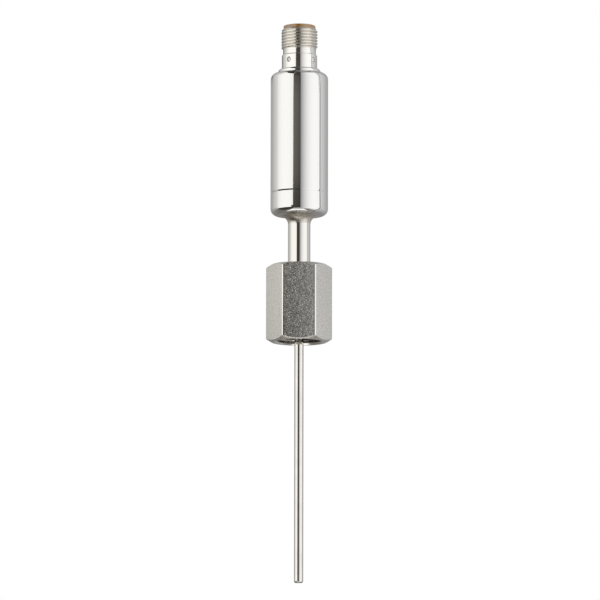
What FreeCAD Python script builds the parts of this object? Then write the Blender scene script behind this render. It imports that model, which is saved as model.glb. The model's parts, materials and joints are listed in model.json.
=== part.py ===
import FreeCAD, Part
import math
import os

# A temperature sensor: probe, union nut, neck, housing and threaded connector on one upright axis.
# Lengths are in millimetres. Z runs up the axis, and zero is the flat seat of the sealing cone.

# Gaps between pieces
PLAY = 0.05
LOOSE = 0.1
RUNNING = 0.3

# Probe
PROBE_D = 3.0
PROBE_WALL = 0.45
INSERTION_LENGTH = 100.0
TIP_ROUND = 0.5
TIP_FLOOR = 0.8
SHEATH_ABOVE_SEAT = 8.0
SHEATH_STEP = 0.2
ELEMENT_WIDTH = 1.2
ELEMENT_DEPTH = 0.6
ELEMENT_LENGTH = 2.0
LEAD_D = 0.4
LEAD_SPACING = 1.0
INSULATOR_D = 1.9

# Sealing cone
CONE_FLANGE_D = 13.4
CONE_FLANGE_T = 1.6
CONE_D = 12.0
CONE_LENGTH = 6.5
CONE_HALF_ANGLE = 12.0
CONE_EDGE = 0.3
CONE_SEAL_D = 1.5
CONE_SEAL_DEPTH = 1.15
CONE_SEAL_DROP = 3.4
SPIGOT_D = 5.6
SPIGOT_LENGTH = 2.4

# Union nut and slip ring
NUT_FLATS = 19.0
NUT_LENGTH = 25.6
NUT_ROOF = 2.6
NUT_EDGE_ROUND = 0.4
NUT_FACE_D = 18.2
NUT_CHAMFER_ANGLE = 30.0
NUT_THREAD_D = 16.0
NUT_THREAD_PITCH = 1.5
NUT_THREAD_DEPTH_SHARE = 0.54125
NUT_MOUTH_D = 16.2
NUT_RELIEF_LENGTH = 3.2
NUT_HOLE_EDGE = 0.4
RING_T = 0.8
RING_D = 15.0
RING_SPLIT = 2.0

# Neck and base
NECK_D = 7.4
NECK_BORE_D = 4.2
NECK_LENGTH = 21.55
NECK_FLARE_R = 3.0
BODY_D = 19.0
BASE_HEIGHT = 7.45
BASE_ROUND = 2.2
BASE_FLOOR = 4.0
BASE_POCKET_D = 12.4
BASE_SPIGOT_LENGTH = 4.5
SEAM_EDGE = 0.18
BODY_SEAL_D = 1.3
BODY_SEAL_WIDTH = 1.8
BASE_SEAL_RISE = 2.4

# Housing shell
SHELL_LENGTH = 40.15
SHELL_WALL = 0.9
SHOULDER_ROUND = 2.1

# Connector sleeve
FLANGE_D = 14.1
FLANGE_STAND = 0.35
FLANGE_ROUND = 1.0
COLLAR_D = 11.7
COLLAR_HEIGHT = 4.75
COLLAR_EDGE = 0.25
RELIEF_D = 10.95
RELIEF_HEIGHT = 1.75
PLUG_THREAD_D = 12.0
PLUG_THREAD_LENGTH = 7.0
PLUG_THREAD_EDGE = 0.6
SLEEVE_BORE_D = 9.5
BARREL_LENGTH = 7.0
SOCKET_D = 13.2
SOCKET_DEPTH = 6.0
SLEEVE_SEAL_RISE = 3.0

# Light windows
WINDOW_COUNT = 4
WINDOW_D = 1.6
WINDOW_EDGE = 0.12
WINDOW_RISE = 2.7
WINDOW_START = -127.0
WINDOW_SINK = 0.15
WINDOW_DOME_R = 1.5

# Contact carrier and pins
RIM_D = 10.6
RIM_HEIGHT = 1.1
RIM_ROUND = 0.3
CAVITY_D = 8.4
CAVITY_DEPTH = 8.6
KEY_WIDTH = 0.9
KEY_DEPTH = 0.7
KEY_SINK = 0.5
PIN_COUNT = 4
PIN_D = 1.0
PIN_CIRCLE_D = 5.0
PIN_SINK = 1.5
PIN_TIP = 0.3
PIN_TAIL = 0.8

# Boards and what they carry
LIGHT_BOARD_D = 12.8
LIGHT_BOARD_T = 0.8
LIGHT_LENGTH = 1.0
LIGHT_WIDTH = 0.6
LIGHT_HEIGHT = 0.6
LIGHT_CIRCLE_D = 7.8
BOARD_INSET = 2.6
BOARD_T = 1.0
LINK_COUNT = 4
LINK_SIDE = 0.5
LINK_SPACING = 2.54
LINK_OVERLAP = 3.0
PROCESSOR_SIDE = 5.0
PROCESSOR_PLACE = 0.5
CONVERTER_WIDTH = 4.0
CONVERTER_HEIGHT = 5.0
CONVERTER_PLACE = 0.35
CHIP_T = 0.9
SMALL_COUNT = 4
SMALL_SPACING = 2.2
CAPACITOR_WIDTH = 0.8
CAPACITOR_HEIGHT = 1.6
CAPACITOR_T = 0.8
CAPACITOR_PLACE = 0.72
RESISTOR_WIDTH = 0.8
RESISTOR_HEIGHT = 1.6
RESISTOR_T = 0.45
RESISTOR_PLACE = 0.6

# Inner supports
INSULATION_WALL = 0.3
HOLDER_HEIGHT = 5.0
HOLDER_FLOOR = 1.5
GROMMET_STEM = 3.0
GROMMET_HEAD_D = 6.4
GROMMET_HEAD_T = 1.5

# Levels along the axis
TIP = -INSERTION_LENGTH
NECK_END = CONE_FLANGE_T
RING_LOW = NECK_END + PLAY
RING_HIGH = RING_LOW + RING_T
NUT_SHOULDER = RING_HIGH + PLAY
NUT_TOP = NUT_SHOULDER + NUT_ROOF
NUT_LOW = NUT_TOP - NUT_LENGTH
BASE_LOW = NECK_LENGTH
SEAM = BASE_LOW + BASE_HEIGHT
POCKET_FLOOR = BASE_LOW + BASE_FLOOR
BASE_TOP = SEAM + BASE_SPIGOT_LENGTH
SHELL_TOP = SEAM + SHELL_LENGTH
BARREL_TOP = SHELL_TOP - SHELL_WALL - LOOSE
BARREL_LOW = BARREL_TOP - BARREL_LENGTH
SOCKET_TOP = BARREL_LOW + SOCKET_DEPTH
FLANGE_TOP = SHELL_TOP + FLANGE_STAND + FLANGE_ROUND
COLLAR_TOP = FLANGE_TOP + COLLAR_HEIGHT
THREAD_LOW = COLLAR_TOP + RELIEF_HEIGHT
SLEEVE_END = THREAD_LOW + PLUG_THREAD_LENGTH
RIM_TOP = SLEEVE_END + RIM_HEIGHT
WINDOW_LEVEL = FLANGE_TOP + WINDOW_RISE
LIGHT_BOARD_TOP = SOCKET_TOP - PLAY
LIGHT_BOARD_LOW = LIGHT_BOARD_TOP - LIGHT_BOARD_T
CARRIER_LOW = LIGHT_BOARD_TOP + LIGHT_HEIGHT + LOOSE
PIN_LOW = LIGHT_BOARD_LOW - PIN_TAIL
BOARD_TOP = PIN_LOW - RUNNING
HOLDER_LOW = BASE_TOP + LOOSE
BOARD_LOW = HOLDER_LOW + HOLDER_FLOOR + PLAY
LEAD_TOP = BOARD_LOW + LINK_OVERLAP

# Radii used by more than one piece
PROBE_R = PROBE_D / 2
SHEATH_BORE_R = PROBE_R - PROBE_WALL
SHEATH_ROOT_R = PROBE_R - SHEATH_STEP
LEAD_R = LEAD_D / 2
NECK_R = NECK_D / 2
BODY_R = BODY_D / 2
SHELL_BORE_R = BODY_R - SHELL_WALL
SEAL_FLOOR_R = SHELL_BORE_R - BODY_SEAL_D - PLAY
SLEEVE_BORE_R = SLEEVE_BORE_D / 2
NUT_MINOR_R = NUT_THREAD_D / 2 - NUT_THREAD_DEPTH_SHARE * NUT_THREAD_PITCH
NUT_RELIEF_R = NUT_THREAD_D / 2 + LOOSE
NUT_HOLE_R = NECK_R + RUNNING
BOARD_FRONT = LEAD_R + LOOSE
BOARD_BACK = BOARD_FRONT + BOARD_T
BOARD_WIDTH = 2 * (SHELL_BORE_R - BOARD_INSET)
WINDOW_ANGLES = [WINDOW_START + 360.0 * i / WINDOW_COUNT for i in range(WINDOW_COUNT)]
PIN_ANGLES = [WINDOW_START + 360.0 * i / PIN_COUNT for i in range(PIN_COUNT)]
KEY_ANGLE = WINDOW_START + 180.0 / PIN_COUNT
SMALL_PLACES = [(i - (SMALL_COUNT - 1) / 2) * SMALL_SPACING for i in range(SMALL_COUNT)]

ORIGIN = FreeCAD.Vector(0, 0, 0)
UP = FreeCAD.Vector(0, 0, 1)
OUT = FreeCAD.Vector(1, 0, 0)


def spot(place):
    """A (radius, level) pair as a point in the XZ plane."""
    return FreeCAD.Vector(place[0], 0, place[1])


def bend(centre_r, centre_z, radius, start, end):
    """An arc step for lathe: its middle and end points, with angles in degrees."""
    middle = math.radians((start + end) / 2)
    last = math.radians(end)
    via = (centre_r + radius * math.cos(middle), centre_z + radius * math.sin(middle))
    stop = (centre_r + radius * math.cos(last), centre_z + radius * math.sin(last))
    return (via, stop)


def lathe(first, *steps):
    """Turn a closed profile about Z. Each step is a (radius, level) point or an arc from bend."""
    edges = []
    here = first
    for step in list(steps) + [first]:
        curved = isinstance(step[0], tuple)
        there = step[1] if curved else step
        if curved:
            edges.append(Part.Arc(spot(here), spot(step[0]), spot(there)).toShape())
        else:
            edges.append(Part.makeLine(spot(here), spot(there)))
        here = there
    return Part.Face(Part.Wire(edges)).revolve(ORIGIN, UP, 360)


def rod(radius, low, high, x=0.0, y=0.0):
    """An upright cylinder."""
    return Part.makeCylinder(radius, high - low, FreeCAD.Vector(x, y, low), UP)


def tube(inner, outer, low, high):
    """An upright tube about Z."""
    return rod(outer, low, high).cut(rod(inner, low, high))


def block(x_low, x_high, y_low, y_high, low, high):
    """An upright block between two corners."""
    corner = FreeCAD.Vector(x_low, y_low, low)
    return Part.makeBox(x_high - x_low, y_high - y_low, high - low, corner, UP)


def chip(x, y_low, y_high, level, width, height):
    """A flat part on a board, centred on x and level."""
    return block(x - width / 2, x + width / 2, y_low, y_high, level - height / 2, level + height / 2)


def seal_ring(floor_r, section, level):
    """A round seal resting just clear of its groove floor."""
    return Part.makeTorus(floor_r + section / 2 + PLAY / 2, section / 2, FreeCAD.Vector(0, 0, level), UP)


def turned(shape, angle):
    """A copy of the shape turned about Z."""
    copy = shape.copy()
    copy.rotate(ORIGIN, UP, angle)
    return copy


def round_spots(radius, angles):
    """Points at a radius about Z."""
    return [(radius * math.cos(math.radians(a)), radius * math.sin(math.radians(a))) for a in angles]


def spoke(radius, level, near, far):
    """A cylinder along +X, between two distances from the axis."""
    return Part.makeCylinder(radius, far - near, FreeCAD.Vector(near, 0, level), OUT)


def hexagon(flats, edge_round, low, high):
    """A hexagonal prism about Z with two flats facing along Y and lightly rounded upright edges."""
    corner_r = flats / math.sqrt(3)
    cut_back = edge_round * math.tan(math.radians(30))
    edges = []
    previous = None
    first = None
    for i in range(6):
        angle = math.radians(60 * i)
        corner = FreeCAD.Vector(corner_r * math.cos(angle), corner_r * math.sin(angle), low)
        along = FreeCAD.Vector(-math.sin(angle), math.cos(angle), 0)
        inward = FreeCAD.Vector(-math.cos(angle), -math.sin(angle), 0)
        # Unit directions of the two sides that leave this corner
        ahead = along * math.cos(math.radians(30)) + inward * math.sin(math.radians(30))
        behind = along * -math.cos(math.radians(30)) + inward * math.sin(math.radians(30))
        start = corner + behind * cut_back
        end = corner + ahead * cut_back
        middle = corner + inward * (edge_round / math.cos(math.radians(30)) - edge_round)
        if previous is None:
            first = start
        else:
            edges.append(Part.makeLine(previous, start))
        edges.append(Part.Arc(start, middle, end).toShape())
        previous = end
    edges.append(Part.makeLine(previous, first))
    return Part.Face(Part.Wire(edges)).extrude(FreeCAD.Vector(0, 0, high - low))


def probe_sheath():
    """A drawn tube, closed at the tip, stepped to a slimmer root that reaches up through the cone."""
    step = -CONE_LENGTH - PLAY
    return lathe(
        (0, TIP),
        (PROBE_R - TIP_ROUND, TIP),
        bend(PROBE_R - TIP_ROUND, TIP + TIP_ROUND, TIP_ROUND, -90, 0),
        (PROBE_R, step),
        (SHEATH_ROOT_R, step),
        (SHEATH_ROOT_R, SHEATH_ABOVE_SEAT),
        (SHEATH_BORE_R, SHEATH_ABOVE_SEAT),
        (SHEATH_BORE_R, TIP + TIP_FLOOR),
        (0, TIP + TIP_FLOOR),
    )


def lead_places():
    """The two leads stand side by side along X."""
    return [-LEAD_SPACING / 2, LEAD_SPACING / 2]


def sensing_element():
    """The measuring chip that sits in the tip."""
    low = TIP + TIP_FLOOR + LOOSE
    return block(-ELEMENT_WIDTH / 2, ELEMENT_WIDTH / 2, -ELEMENT_DEPTH / 2, ELEMENT_DEPTH / 2,
                 low, low + ELEMENT_LENGTH)


def element_top():
    """Level where the leads leave the measuring chip."""
    return TIP + TIP_FLOOR + LOOSE + ELEMENT_LENGTH


def lead_wires():
    """Two straight wires from the chip up to the circuit board."""
    return [rod(LEAD_R, element_top(), LEAD_TOP, x) for x in lead_places()]


def insulator_rod():
    """A round ceramic rod with one bore for each lead."""
    body = rod(INSULATOR_D / 2, element_top() + LOOSE, SHEATH_ABOVE_SEAT - LOOSE)
    for x in lead_places():
        body = body.cut(rod(LEAD_R + PLAY, element_top(), SHEATH_ABOVE_SEAT, x))
    return body


def cone_radius(level):
    """Radius of the sealing cone at a level below the seat."""
    return CONE_D / 2 + level * math.tan(math.radians(CONE_HALF_ANGLE))


def cone_seal_floor():
    """Radius of the floor of the groove in the cone."""
    return cone_radius(-CONE_SEAL_DROP) - CONE_SEAL_DEPTH


def sealing_cone():
    """The collar welded to the neck: a flat flange above, a cone with a seal groove below."""
    flange_r = CONE_FLANGE_D / 2
    groove_half = CONE_SEAL_D / 2 + LOOSE
    groove_high = -CONE_SEAL_DROP + groove_half
    groove_low = -CONE_SEAL_DROP - groove_half
    floor_r = cone_seal_floor()
    nose = -CONE_LENGTH
    hole_r = SHEATH_ROOT_R + PLAY / 2
    socket_r = SPIGOT_D / 2 + PLAY / 2
    socket_floor = NECK_END - SPIGOT_LENGTH - PLAY
    return lathe(
        (hole_r, nose),
        (cone_radius(nose) - CONE_EDGE, nose),
        (cone_radius(nose + CONE_EDGE), nose + CONE_EDGE),
        (cone_radius(groove_low), groove_low),
        (floor_r, groove_low),
        (floor_r, groove_high),
        (cone_radius(groove_high), groove_high),
        (cone_radius(0), 0),
        (flange_r, 0),
        (flange_r, NECK_END - CONE_EDGE),
        (flange_r - CONE_EDGE, NECK_END),
        (socket_r, NECK_END),
        (socket_r, socket_floor),
        (hole_r, socket_floor),
    )


def slip_ring():
    """A split ring that lies between the nut and the collar and snaps into the nut."""
    whole = tube(NUT_HOLE_R, RING_D / 2, RING_LOW, RING_HIGH)
    slit = block(0, RING_D, -RING_SPLIT / 2, RING_SPLIT / 2, RING_LOW, RING_HIGH)
    return whole.cut(slit)


def union_nut():
    """A long hexagon nut with chamfered ends, a threaded bore and a roof that holds the collar."""
    face_r = NUT_FACE_D / 2
    wide_r = NUT_FLATS
    drop = (wide_r - face_r) * math.tan(math.radians(NUT_CHAMFER_ANGLE))
    envelope = lathe(
        (0, NUT_LOW),
        (face_r, NUT_LOW),
        (wide_r, NUT_LOW + drop),
        (wide_r, NUT_TOP - drop),
        (face_r, NUT_TOP),
        (0, NUT_TOP),
    )
    mouth_r = NUT_MOUTH_D / 2
    relief_low = NUT_SHOULDER - NUT_RELIEF_LENGTH
    bore = lathe(
        (0, NUT_LOW),
        (mouth_r, NUT_LOW),
        (NUT_MINOR_R, NUT_LOW + mouth_r - NUT_MINOR_R),
        (NUT_MINOR_R, relief_low - (NUT_RELIEF_R - NUT_MINOR_R)),
        (NUT_RELIEF_R, relief_low),
        (NUT_RELIEF_R, NUT_SHOULDER),
        (NUT_HOLE_R, NUT_SHOULDER),
        (NUT_HOLE_R, NUT_TOP - NUT_HOLE_EDGE),
        (NUT_HOLE_R + NUT_HOLE_EDGE, NUT_TOP),
        (0, NUT_TOP),
    )
    return hexagon(NUT_FLATS, NUT_EDGE_ROUND, NUT_LOW, NUT_TOP).common(envelope).cut(bore)


def neck_base():
    """The lower end of the housing, turned in one with the neck."""
    neck_bore_r = NECK_BORE_D / 2
    spigot_r = SPIGOT_D / 2
    pocket_r = BASE_POCKET_D / 2
    upper_r = SHELL_BORE_R - PLAY
    groove_mid = SEAM + BASE_SEAL_RISE
    return lathe(
        (neck_bore_r, NECK_END - SPIGOT_LENGTH),
        (spigot_r, NECK_END - SPIGOT_LENGTH),
        (spigot_r, NECK_END),
        (NECK_R, NECK_END),
        (NECK_R, BASE_LOW - NECK_FLARE_R),
        bend(NECK_R + NECK_FLARE_R, BASE_LOW - NECK_FLARE_R, NECK_FLARE_R, 180, 90),
        (BODY_R - BASE_ROUND, BASE_LOW),
        bend(BODY_R - BASE_ROUND, BASE_LOW + BASE_ROUND, BASE_ROUND, -90, 0),
        (BODY_R, SEAM - SEAM_EDGE),
        (BODY_R - SEAM_EDGE, SEAM),
        (upper_r, SEAM),
        (upper_r, groove_mid - BODY_SEAL_WIDTH / 2),
        (SEAL_FLOOR_R, groove_mid - BODY_SEAL_WIDTH / 2),
        (SEAL_FLOOR_R, groove_mid + BODY_SEAL_WIDTH / 2),
        (upper_r, groove_mid + BODY_SEAL_WIDTH / 2),
        (upper_r, BASE_TOP),
        (pocket_r, BASE_TOP),
        (pocket_r, POCKET_FLOOR),
        (neck_bore_r, POCKET_FLOOR),
    )


def housing_shell():
    """The polished tube, drawn in at the top around the connector."""
    shoulder_z = SHELL_TOP - SHOULDER_ROUND
    shoulder_r = BODY_R - SHOULDER_ROUND
    mouth_r = FLANGE_D / 2 + LOOSE
    inside = SHELL_TOP - SHELL_WALL
    return lathe(
        (BODY_R - SEAM_EDGE, SEAM),
        (BODY_R, SEAM + SEAM_EDGE),
        (BODY_R, shoulder_z),
        bend(shoulder_r, shoulder_z, SHOULDER_ROUND, 0, 90),
        (mouth_r, SHELL_TOP),
        (mouth_r, inside),
        (shoulder_r, inside),
        bend(shoulder_r, shoulder_z, SHOULDER_ROUND - SHELL_WALL, 90, 0),
        (SHELL_BORE_R, SEAM),
    )


def connector_sleeve():
    """The turned connector: barrel inside the shell, flange, light collar, relief and threaded end."""
    barrel_r = SHELL_BORE_R - LOOSE
    corner_r = BODY_R - SHOULDER_ROUND
    corner_z = SHELL_TOP - SHOULDER_ROUND
    corner_round = SHOULDER_ROUND - SHELL_WALL - LOOSE
    flange_r = FLANGE_D / 2
    flange_edge = SHELL_TOP + FLANGE_STAND
    collar_r = COLLAR_D / 2
    relief_r = RELIEF_D / 2
    thread_r = PLUG_THREAD_D / 2
    groove_mid = BARREL_LOW + SLEEVE_SEAL_RISE
    socket_r = SOCKET_D / 2
    body = lathe(
        (socket_r, BARREL_LOW),
        (barrel_r, BARREL_LOW),
        (barrel_r, groove_mid - BODY_SEAL_WIDTH / 2),
        (SEAL_FLOOR_R, groove_mid - BODY_SEAL_WIDTH / 2),
        (SEAL_FLOOR_R, groove_mid + BODY_SEAL_WIDTH / 2),
        (barrel_r, groove_mid + BODY_SEAL_WIDTH / 2),
        (barrel_r, corner_z),
        bend(corner_r, corner_z, corner_round, 0, 90),
        (flange_r, BARREL_TOP),
        (flange_r, flange_edge),
        bend(flange_r - FLANGE_ROUND, flange_edge, FLANGE_ROUND, 0, 90),
        (collar_r, FLANGE_TOP),
        (collar_r, COLLAR_TOP - COLLAR_EDGE),
        (collar_r - COLLAR_EDGE, COLLAR_TOP),
        (relief_r, COLLAR_TOP),
        (relief_r, THREAD_LOW),
        (thread_r, THREAD_LOW + thread_r - relief_r),
        (thread_r, SLEEVE_END - PLUG_THREAD_EDGE),
        (thread_r - PLUG_THREAD_EDGE, SLEEVE_END),
        (SLEEVE_BORE_R, SLEEVE_END),
        (SLEEVE_BORE_R, SOCKET_TOP),
        (socket_r, SOCKET_TOP),
    )
    hole = spoke(WINDOW_D / 2, WINDOW_LEVEL, SLEEVE_BORE_R / 2, COLLAR_D)
    wide = WINDOW_D / 2 + WINDOW_EDGE
    sink = Part.makeCone(0, wide, wide, FreeCAD.Vector(collar_r - wide, 0, WINDOW_LEVEL), OUT)
    for angle in WINDOW_ANGLES:
        body = body.cut(turned(hole, angle)).cut(turned(sink, angle))
    return body


def light_windows():
    """Clear domed plugs, one in each hole of the collar, a little below its surface."""
    radius = WINDOW_D / 2 - PLAY / 2
    outer = COLLAR_D / 2 - WINDOW_SINK
    dome = Part.makeSphere(WINDOW_DOME_R, FreeCAD.Vector(outer - WINDOW_DOME_R, 0, WINDOW_LEVEL))
    plug = spoke(radius, WINDOW_LEVEL, SLEEVE_BORE_R + PLAY, outer).common(dome)
    return [turned(plug, angle) for angle in WINDOW_ANGLES]


def contact_carrier():
    """The moulded insert: a rim on the sleeve's end, a keyed cavity and a thick floor for the pins."""
    rim_r = RIM_D / 2
    body_r = SLEEVE_BORE_R - PLAY
    cavity_r = CAVITY_D / 2
    cavity_floor = RIM_TOP - CAVITY_DEPTH
    rim_low = SLEEVE_END + PLAY / 2
    body = lathe(
        (0, CARRIER_LOW),
        (body_r, CARRIER_LOW),
        (body_r, rim_low),
        (rim_r, rim_low),
        (rim_r, RIM_TOP - RIM_ROUND),
        bend(rim_r - RIM_ROUND, RIM_TOP - RIM_ROUND, RIM_ROUND, 0, 90),
        (cavity_r, RIM_TOP),
        (cavity_r, cavity_floor),
        (0, cavity_floor),
    )
    key = block(cavity_r - KEY_DEPTH, cavity_r + PLAY, -KEY_WIDTH / 2, KEY_WIDTH / 2,
                cavity_floor, RIM_TOP - KEY_SINK)
    body = body.fuse(turned(key, KEY_ANGLE))
    for x, y in round_spots(PIN_CIRCLE_D / 2, PIN_ANGLES):
        body = body.cut(rod(PIN_D / 2 + PLAY / 2, CARRIER_LOW, cavity_floor, x, y))
    return body


def contact_pins():
    """Round pins with softened tips, standing in the carrier and soldered to the light board."""
    radius = PIN_D / 2
    high = RIM_TOP - PIN_SINK
    pin = lathe(
        (0, PIN_LOW),
        (radius, PIN_LOW),
        (radius, high - PIN_TIP),
        bend(radius - PIN_TIP, high - PIN_TIP, PIN_TIP, 0, 90),
        (0, high),
    )
    return [pin.translated(FreeCAD.Vector(x, y, 0)) for x, y in round_spots(PIN_CIRCLE_D / 2, PIN_ANGLES)]


def light_board():
    """A round board under the carrier, drilled for the pins."""
    board = rod(LIGHT_BOARD_D / 2, LIGHT_BOARD_LOW, LIGHT_BOARD_TOP)
    for x, y in round_spots(PIN_CIRCLE_D / 2, PIN_ANGLES):
        board = board.cut(rod(PIN_D / 2 + PLAY / 2, LIGHT_BOARD_LOW, LIGHT_BOARD_TOP, x, y))
    return board


def indicator_lights():
    """Small lights on the round board, one below each window."""
    middle = LIGHT_CIRCLE_D / 2
    light = block(middle - LIGHT_WIDTH / 2, middle + LIGHT_WIDTH / 2, -LIGHT_LENGTH / 2, LIGHT_LENGTH / 2,
                  LIGHT_BOARD_TOP, LIGHT_BOARD_TOP + LIGHT_HEIGHT)
    return [turned(light, angle) for angle in WINDOW_ANGLES]


def link_pins():
    """Square pins that join the round board to the face of the circuit board."""
    half = (LINK_COUNT - 1) / 2
    places = [(i - half) * LINK_SPACING for i in range(LINK_COUNT)]
    low = BOARD_TOP - LINK_OVERLAP
    return [block(x - LINK_SIDE / 2, x + LINK_SIDE / 2, BOARD_FRONT - LINK_SIDE, BOARD_FRONT,
                  low, LIGHT_BOARD_LOW) for x in places]


def circuit_board():
    """The upright board in the housing."""
    return block(-BOARD_WIDTH / 2, BOARD_WIDTH / 2, BOARD_FRONT, BOARD_BACK, BOARD_LOW, BOARD_TOP)


def board_level(share):
    """A level on the circuit board, as a share of its height."""
    return BOARD_LOW + share * (BOARD_TOP - BOARD_LOW)


def processor_chip():
    """The square chip on the front of the board."""
    level = board_level(PROCESSOR_PLACE)
    return chip(0, BOARD_FRONT - CHIP_T, BOARD_FRONT, level, PROCESSOR_SIDE, PROCESSOR_SIDE)


def converter_chip():
    """The chip on the back of the board that reads the measuring chip."""
    level = board_level(CONVERTER_PLACE)
    return chip(0, BOARD_BACK, BOARD_BACK + CHIP_T, level, CONVERTER_WIDTH, CONVERTER_HEIGHT)


def board_capacitors():
    """A row of small capacitors on the front of the board."""
    level = board_level(CAPACITOR_PLACE)
    near = BOARD_FRONT - CAPACITOR_T
    return [chip(x, near, BOARD_FRONT, level, CAPACITOR_WIDTH, CAPACITOR_HEIGHT) for x in SMALL_PLACES]


def board_resistors():
    """A row of small resistors on the back of the board."""
    level = board_level(RESISTOR_PLACE)
    far = BOARD_BACK + RESISTOR_T
    return [chip(x, BOARD_BACK, far, level, RESISTOR_WIDTH, RESISTOR_HEIGHT) for x in SMALL_PLACES]


def insulating_sleeve():
    """A thin tube that keeps the board away from the steel."""
    outer = SHELL_BORE_R - LOOSE
    return tube(outer - INSULATION_WALL, outer, HOLDER_LOW, BARREL_LOW - LOOSE)


def board_holder():
    """A moulded foot with a slot for the board and a hole for the leads."""
    radius = SHELL_BORE_R - LOOSE - INSULATION_WALL - LOOSE
    high = HOLDER_LOW + HOLDER_HEIGHT
    foot = rod(radius, HOLDER_LOW, high)
    slot = block(-BOARD_WIDTH / 2 - PLAY, BOARD_WIDTH / 2 + PLAY, BOARD_FRONT - PLAY, BOARD_BACK + PLAY,
                 HOLDER_LOW + HOLDER_FLOOR, high)
    return foot.cut(slot).cut(rod(NECK_BORE_D / 2, HOLDER_LOW, high))


def lead_grommet():
    """A soft plug in the top of the neck bore, with a hole for each lead."""
    stem_r = NECK_BORE_D / 2 - PLAY
    head_r = GROMMET_HEAD_D / 2
    low = POCKET_FLOOR - GROMMET_STEM
    head_low = POCKET_FLOOR + PLAY
    high = head_low + GROMMET_HEAD_T
    plug = lathe((0, low), (stem_r, low), (stem_r, head_low), (head_r, head_low), (head_r, high), (0, high))
    for x in lead_places():
        plug = plug.cut(rod(LEAD_R + PLAY / 2, low, high, x))
    return plug


pieces = {
    "probe_sheath": probe_sheath(),
    "sensing_element": sensing_element(),
    "lead_wires": lead_wires(),
    "insulator_rod": insulator_rod(),
    "sealing_cone": sealing_cone(),
    "cone_seal": seal_ring(cone_seal_floor(), CONE_SEAL_D, -CONE_SEAL_DROP),
    "slip_ring": slip_ring(),
    "union_nut": union_nut(),
    "neck_base": neck_base(),
    "base_seal": seal_ring(SEAL_FLOOR_R, BODY_SEAL_D, SEAM + BASE_SEAL_RISE),
    "housing_shell": housing_shell(),
    "connector_sleeve": connector_sleeve(),
    "sleeve_seal": seal_ring(SEAL_FLOOR_R, BODY_SEAL_D, BARREL_LOW + SLEEVE_SEAL_RISE),
    "light_windows": light_windows(),
    "contact_carrier": contact_carrier(),
    "contact_pins": contact_pins(),
    "light_board": light_board(),
    "indicator_lights": indicator_lights(),
    "link_pins": link_pins(),
    "circuit_board": circuit_board(),
    "processor_chip": processor_chip(),
    "converter_chip": converter_chip(),
    "board_capacitors": board_capacitors(),
    "board_resistors": board_resistors(),
    "insulating_sleeve": insulating_sleeve(),
    "board_holder": board_holder(),
    "lead_grommet": lead_grommet(),
}

os.makedirs("parts", exist_ok=True)
for name, piece in pieces.items():
    shape = Part.makeCompound(piece) if isinstance(piece, list) else piece
    shape.exportStep(f"parts/{name}.step")
    print(name, "solids", len(shape.Solids), "valid", shape.isValid(), "volume", round(shape.Volume, 2))
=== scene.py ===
# %% [markdown]
# # A temperature sensor with a union nut
#
# The real object is a slim steel sensor: a long probe, a loose hexagon nut on a neck, a polished
# housing, and a threaded connector with an amber insert. Everything could be modelled here from
# nothing, but the imported solid model already holds every piece at its true size. So this lesson loads
# it first and builds the looks around it. The finished looks may not outgrow it.

# %% Load the solid model
import json
import math

import bmesh
import bpy
from mathutils import Matrix, Quaternion, Vector


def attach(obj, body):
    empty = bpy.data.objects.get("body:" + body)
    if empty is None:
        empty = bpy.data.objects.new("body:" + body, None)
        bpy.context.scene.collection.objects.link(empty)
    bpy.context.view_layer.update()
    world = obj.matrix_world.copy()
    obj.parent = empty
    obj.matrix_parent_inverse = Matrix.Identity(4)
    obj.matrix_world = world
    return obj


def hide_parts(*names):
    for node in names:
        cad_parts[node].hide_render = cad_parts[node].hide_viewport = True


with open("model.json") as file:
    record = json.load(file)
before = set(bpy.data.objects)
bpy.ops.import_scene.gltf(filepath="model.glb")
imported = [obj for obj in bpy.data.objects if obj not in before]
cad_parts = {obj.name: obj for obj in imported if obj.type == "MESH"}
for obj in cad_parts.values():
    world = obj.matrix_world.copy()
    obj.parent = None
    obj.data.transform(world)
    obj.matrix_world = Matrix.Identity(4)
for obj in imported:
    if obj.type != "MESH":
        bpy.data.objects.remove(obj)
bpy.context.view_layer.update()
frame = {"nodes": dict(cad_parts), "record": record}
MM = 0.001

# %% [markdown]
# ## The camera
#
# The photograph was taken with a long lens from a little below the sensor: the mouth of the nut is
# seen from underneath, and the seam of the housing bends upwards in the middle. A long lens could be
# an orthographic camera, but a real lens far away keeps the slight change of angle along the sensor.
# The lens follows from the width that has to fill the picture at that distance.

# %% Set up the camera
CAMERA_DISTANCE = 2.2
CAMERA_RISE = math.radians(-8.0)
CAMERA_ROLL = math.radians(0.1)
PICTURE_WIDTH = 0.1976
SENSOR_WIDTH = 36.0
aim = Vector((0.31, 0.0, -6.5)) * MM

lens = bpy.data.cameras.new("camera")
lens.sensor_width = SENSOR_WIDTH
lens.lens = SENSOR_WIDTH * CAMERA_DISTANCE / PICTURE_WIDTH
lens.clip_end = 20.0
camera = bpy.data.objects.new("camera", lens)
bpy.context.scene.collection.objects.link(camera)
back = Vector((0.0, -math.cos(CAMERA_RISE), math.sin(CAMERA_RISE)))
camera.location = aim + back * CAMERA_DISTANCE
camera.rotation_mode = "QUATERNION"
camera.rotation_quaternion = (-back).to_track_quat("-Z", "Y") @ Quaternion((0, 0, 1), CAMERA_ROLL)
bpy.context.scene.camera = camera
bpy.context.scene.view_settings.view_transform = "Standard"
print("lens:", round(lens.lens), "mm at", CAMERA_DISTANCE, "m")

# %% [markdown]
# ## The white room
#
# Polished steel has no look of its own: it shows the room around it. The photograph's background is
# plain white. Strong lamps could burn it out, but they would burn out the steel too. So the world itself
# is white wherever the camera, a reflection or a clear part looks at it. As a light it is set lower,
# because most of the light comes from cards that stand round the sensor.

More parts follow.
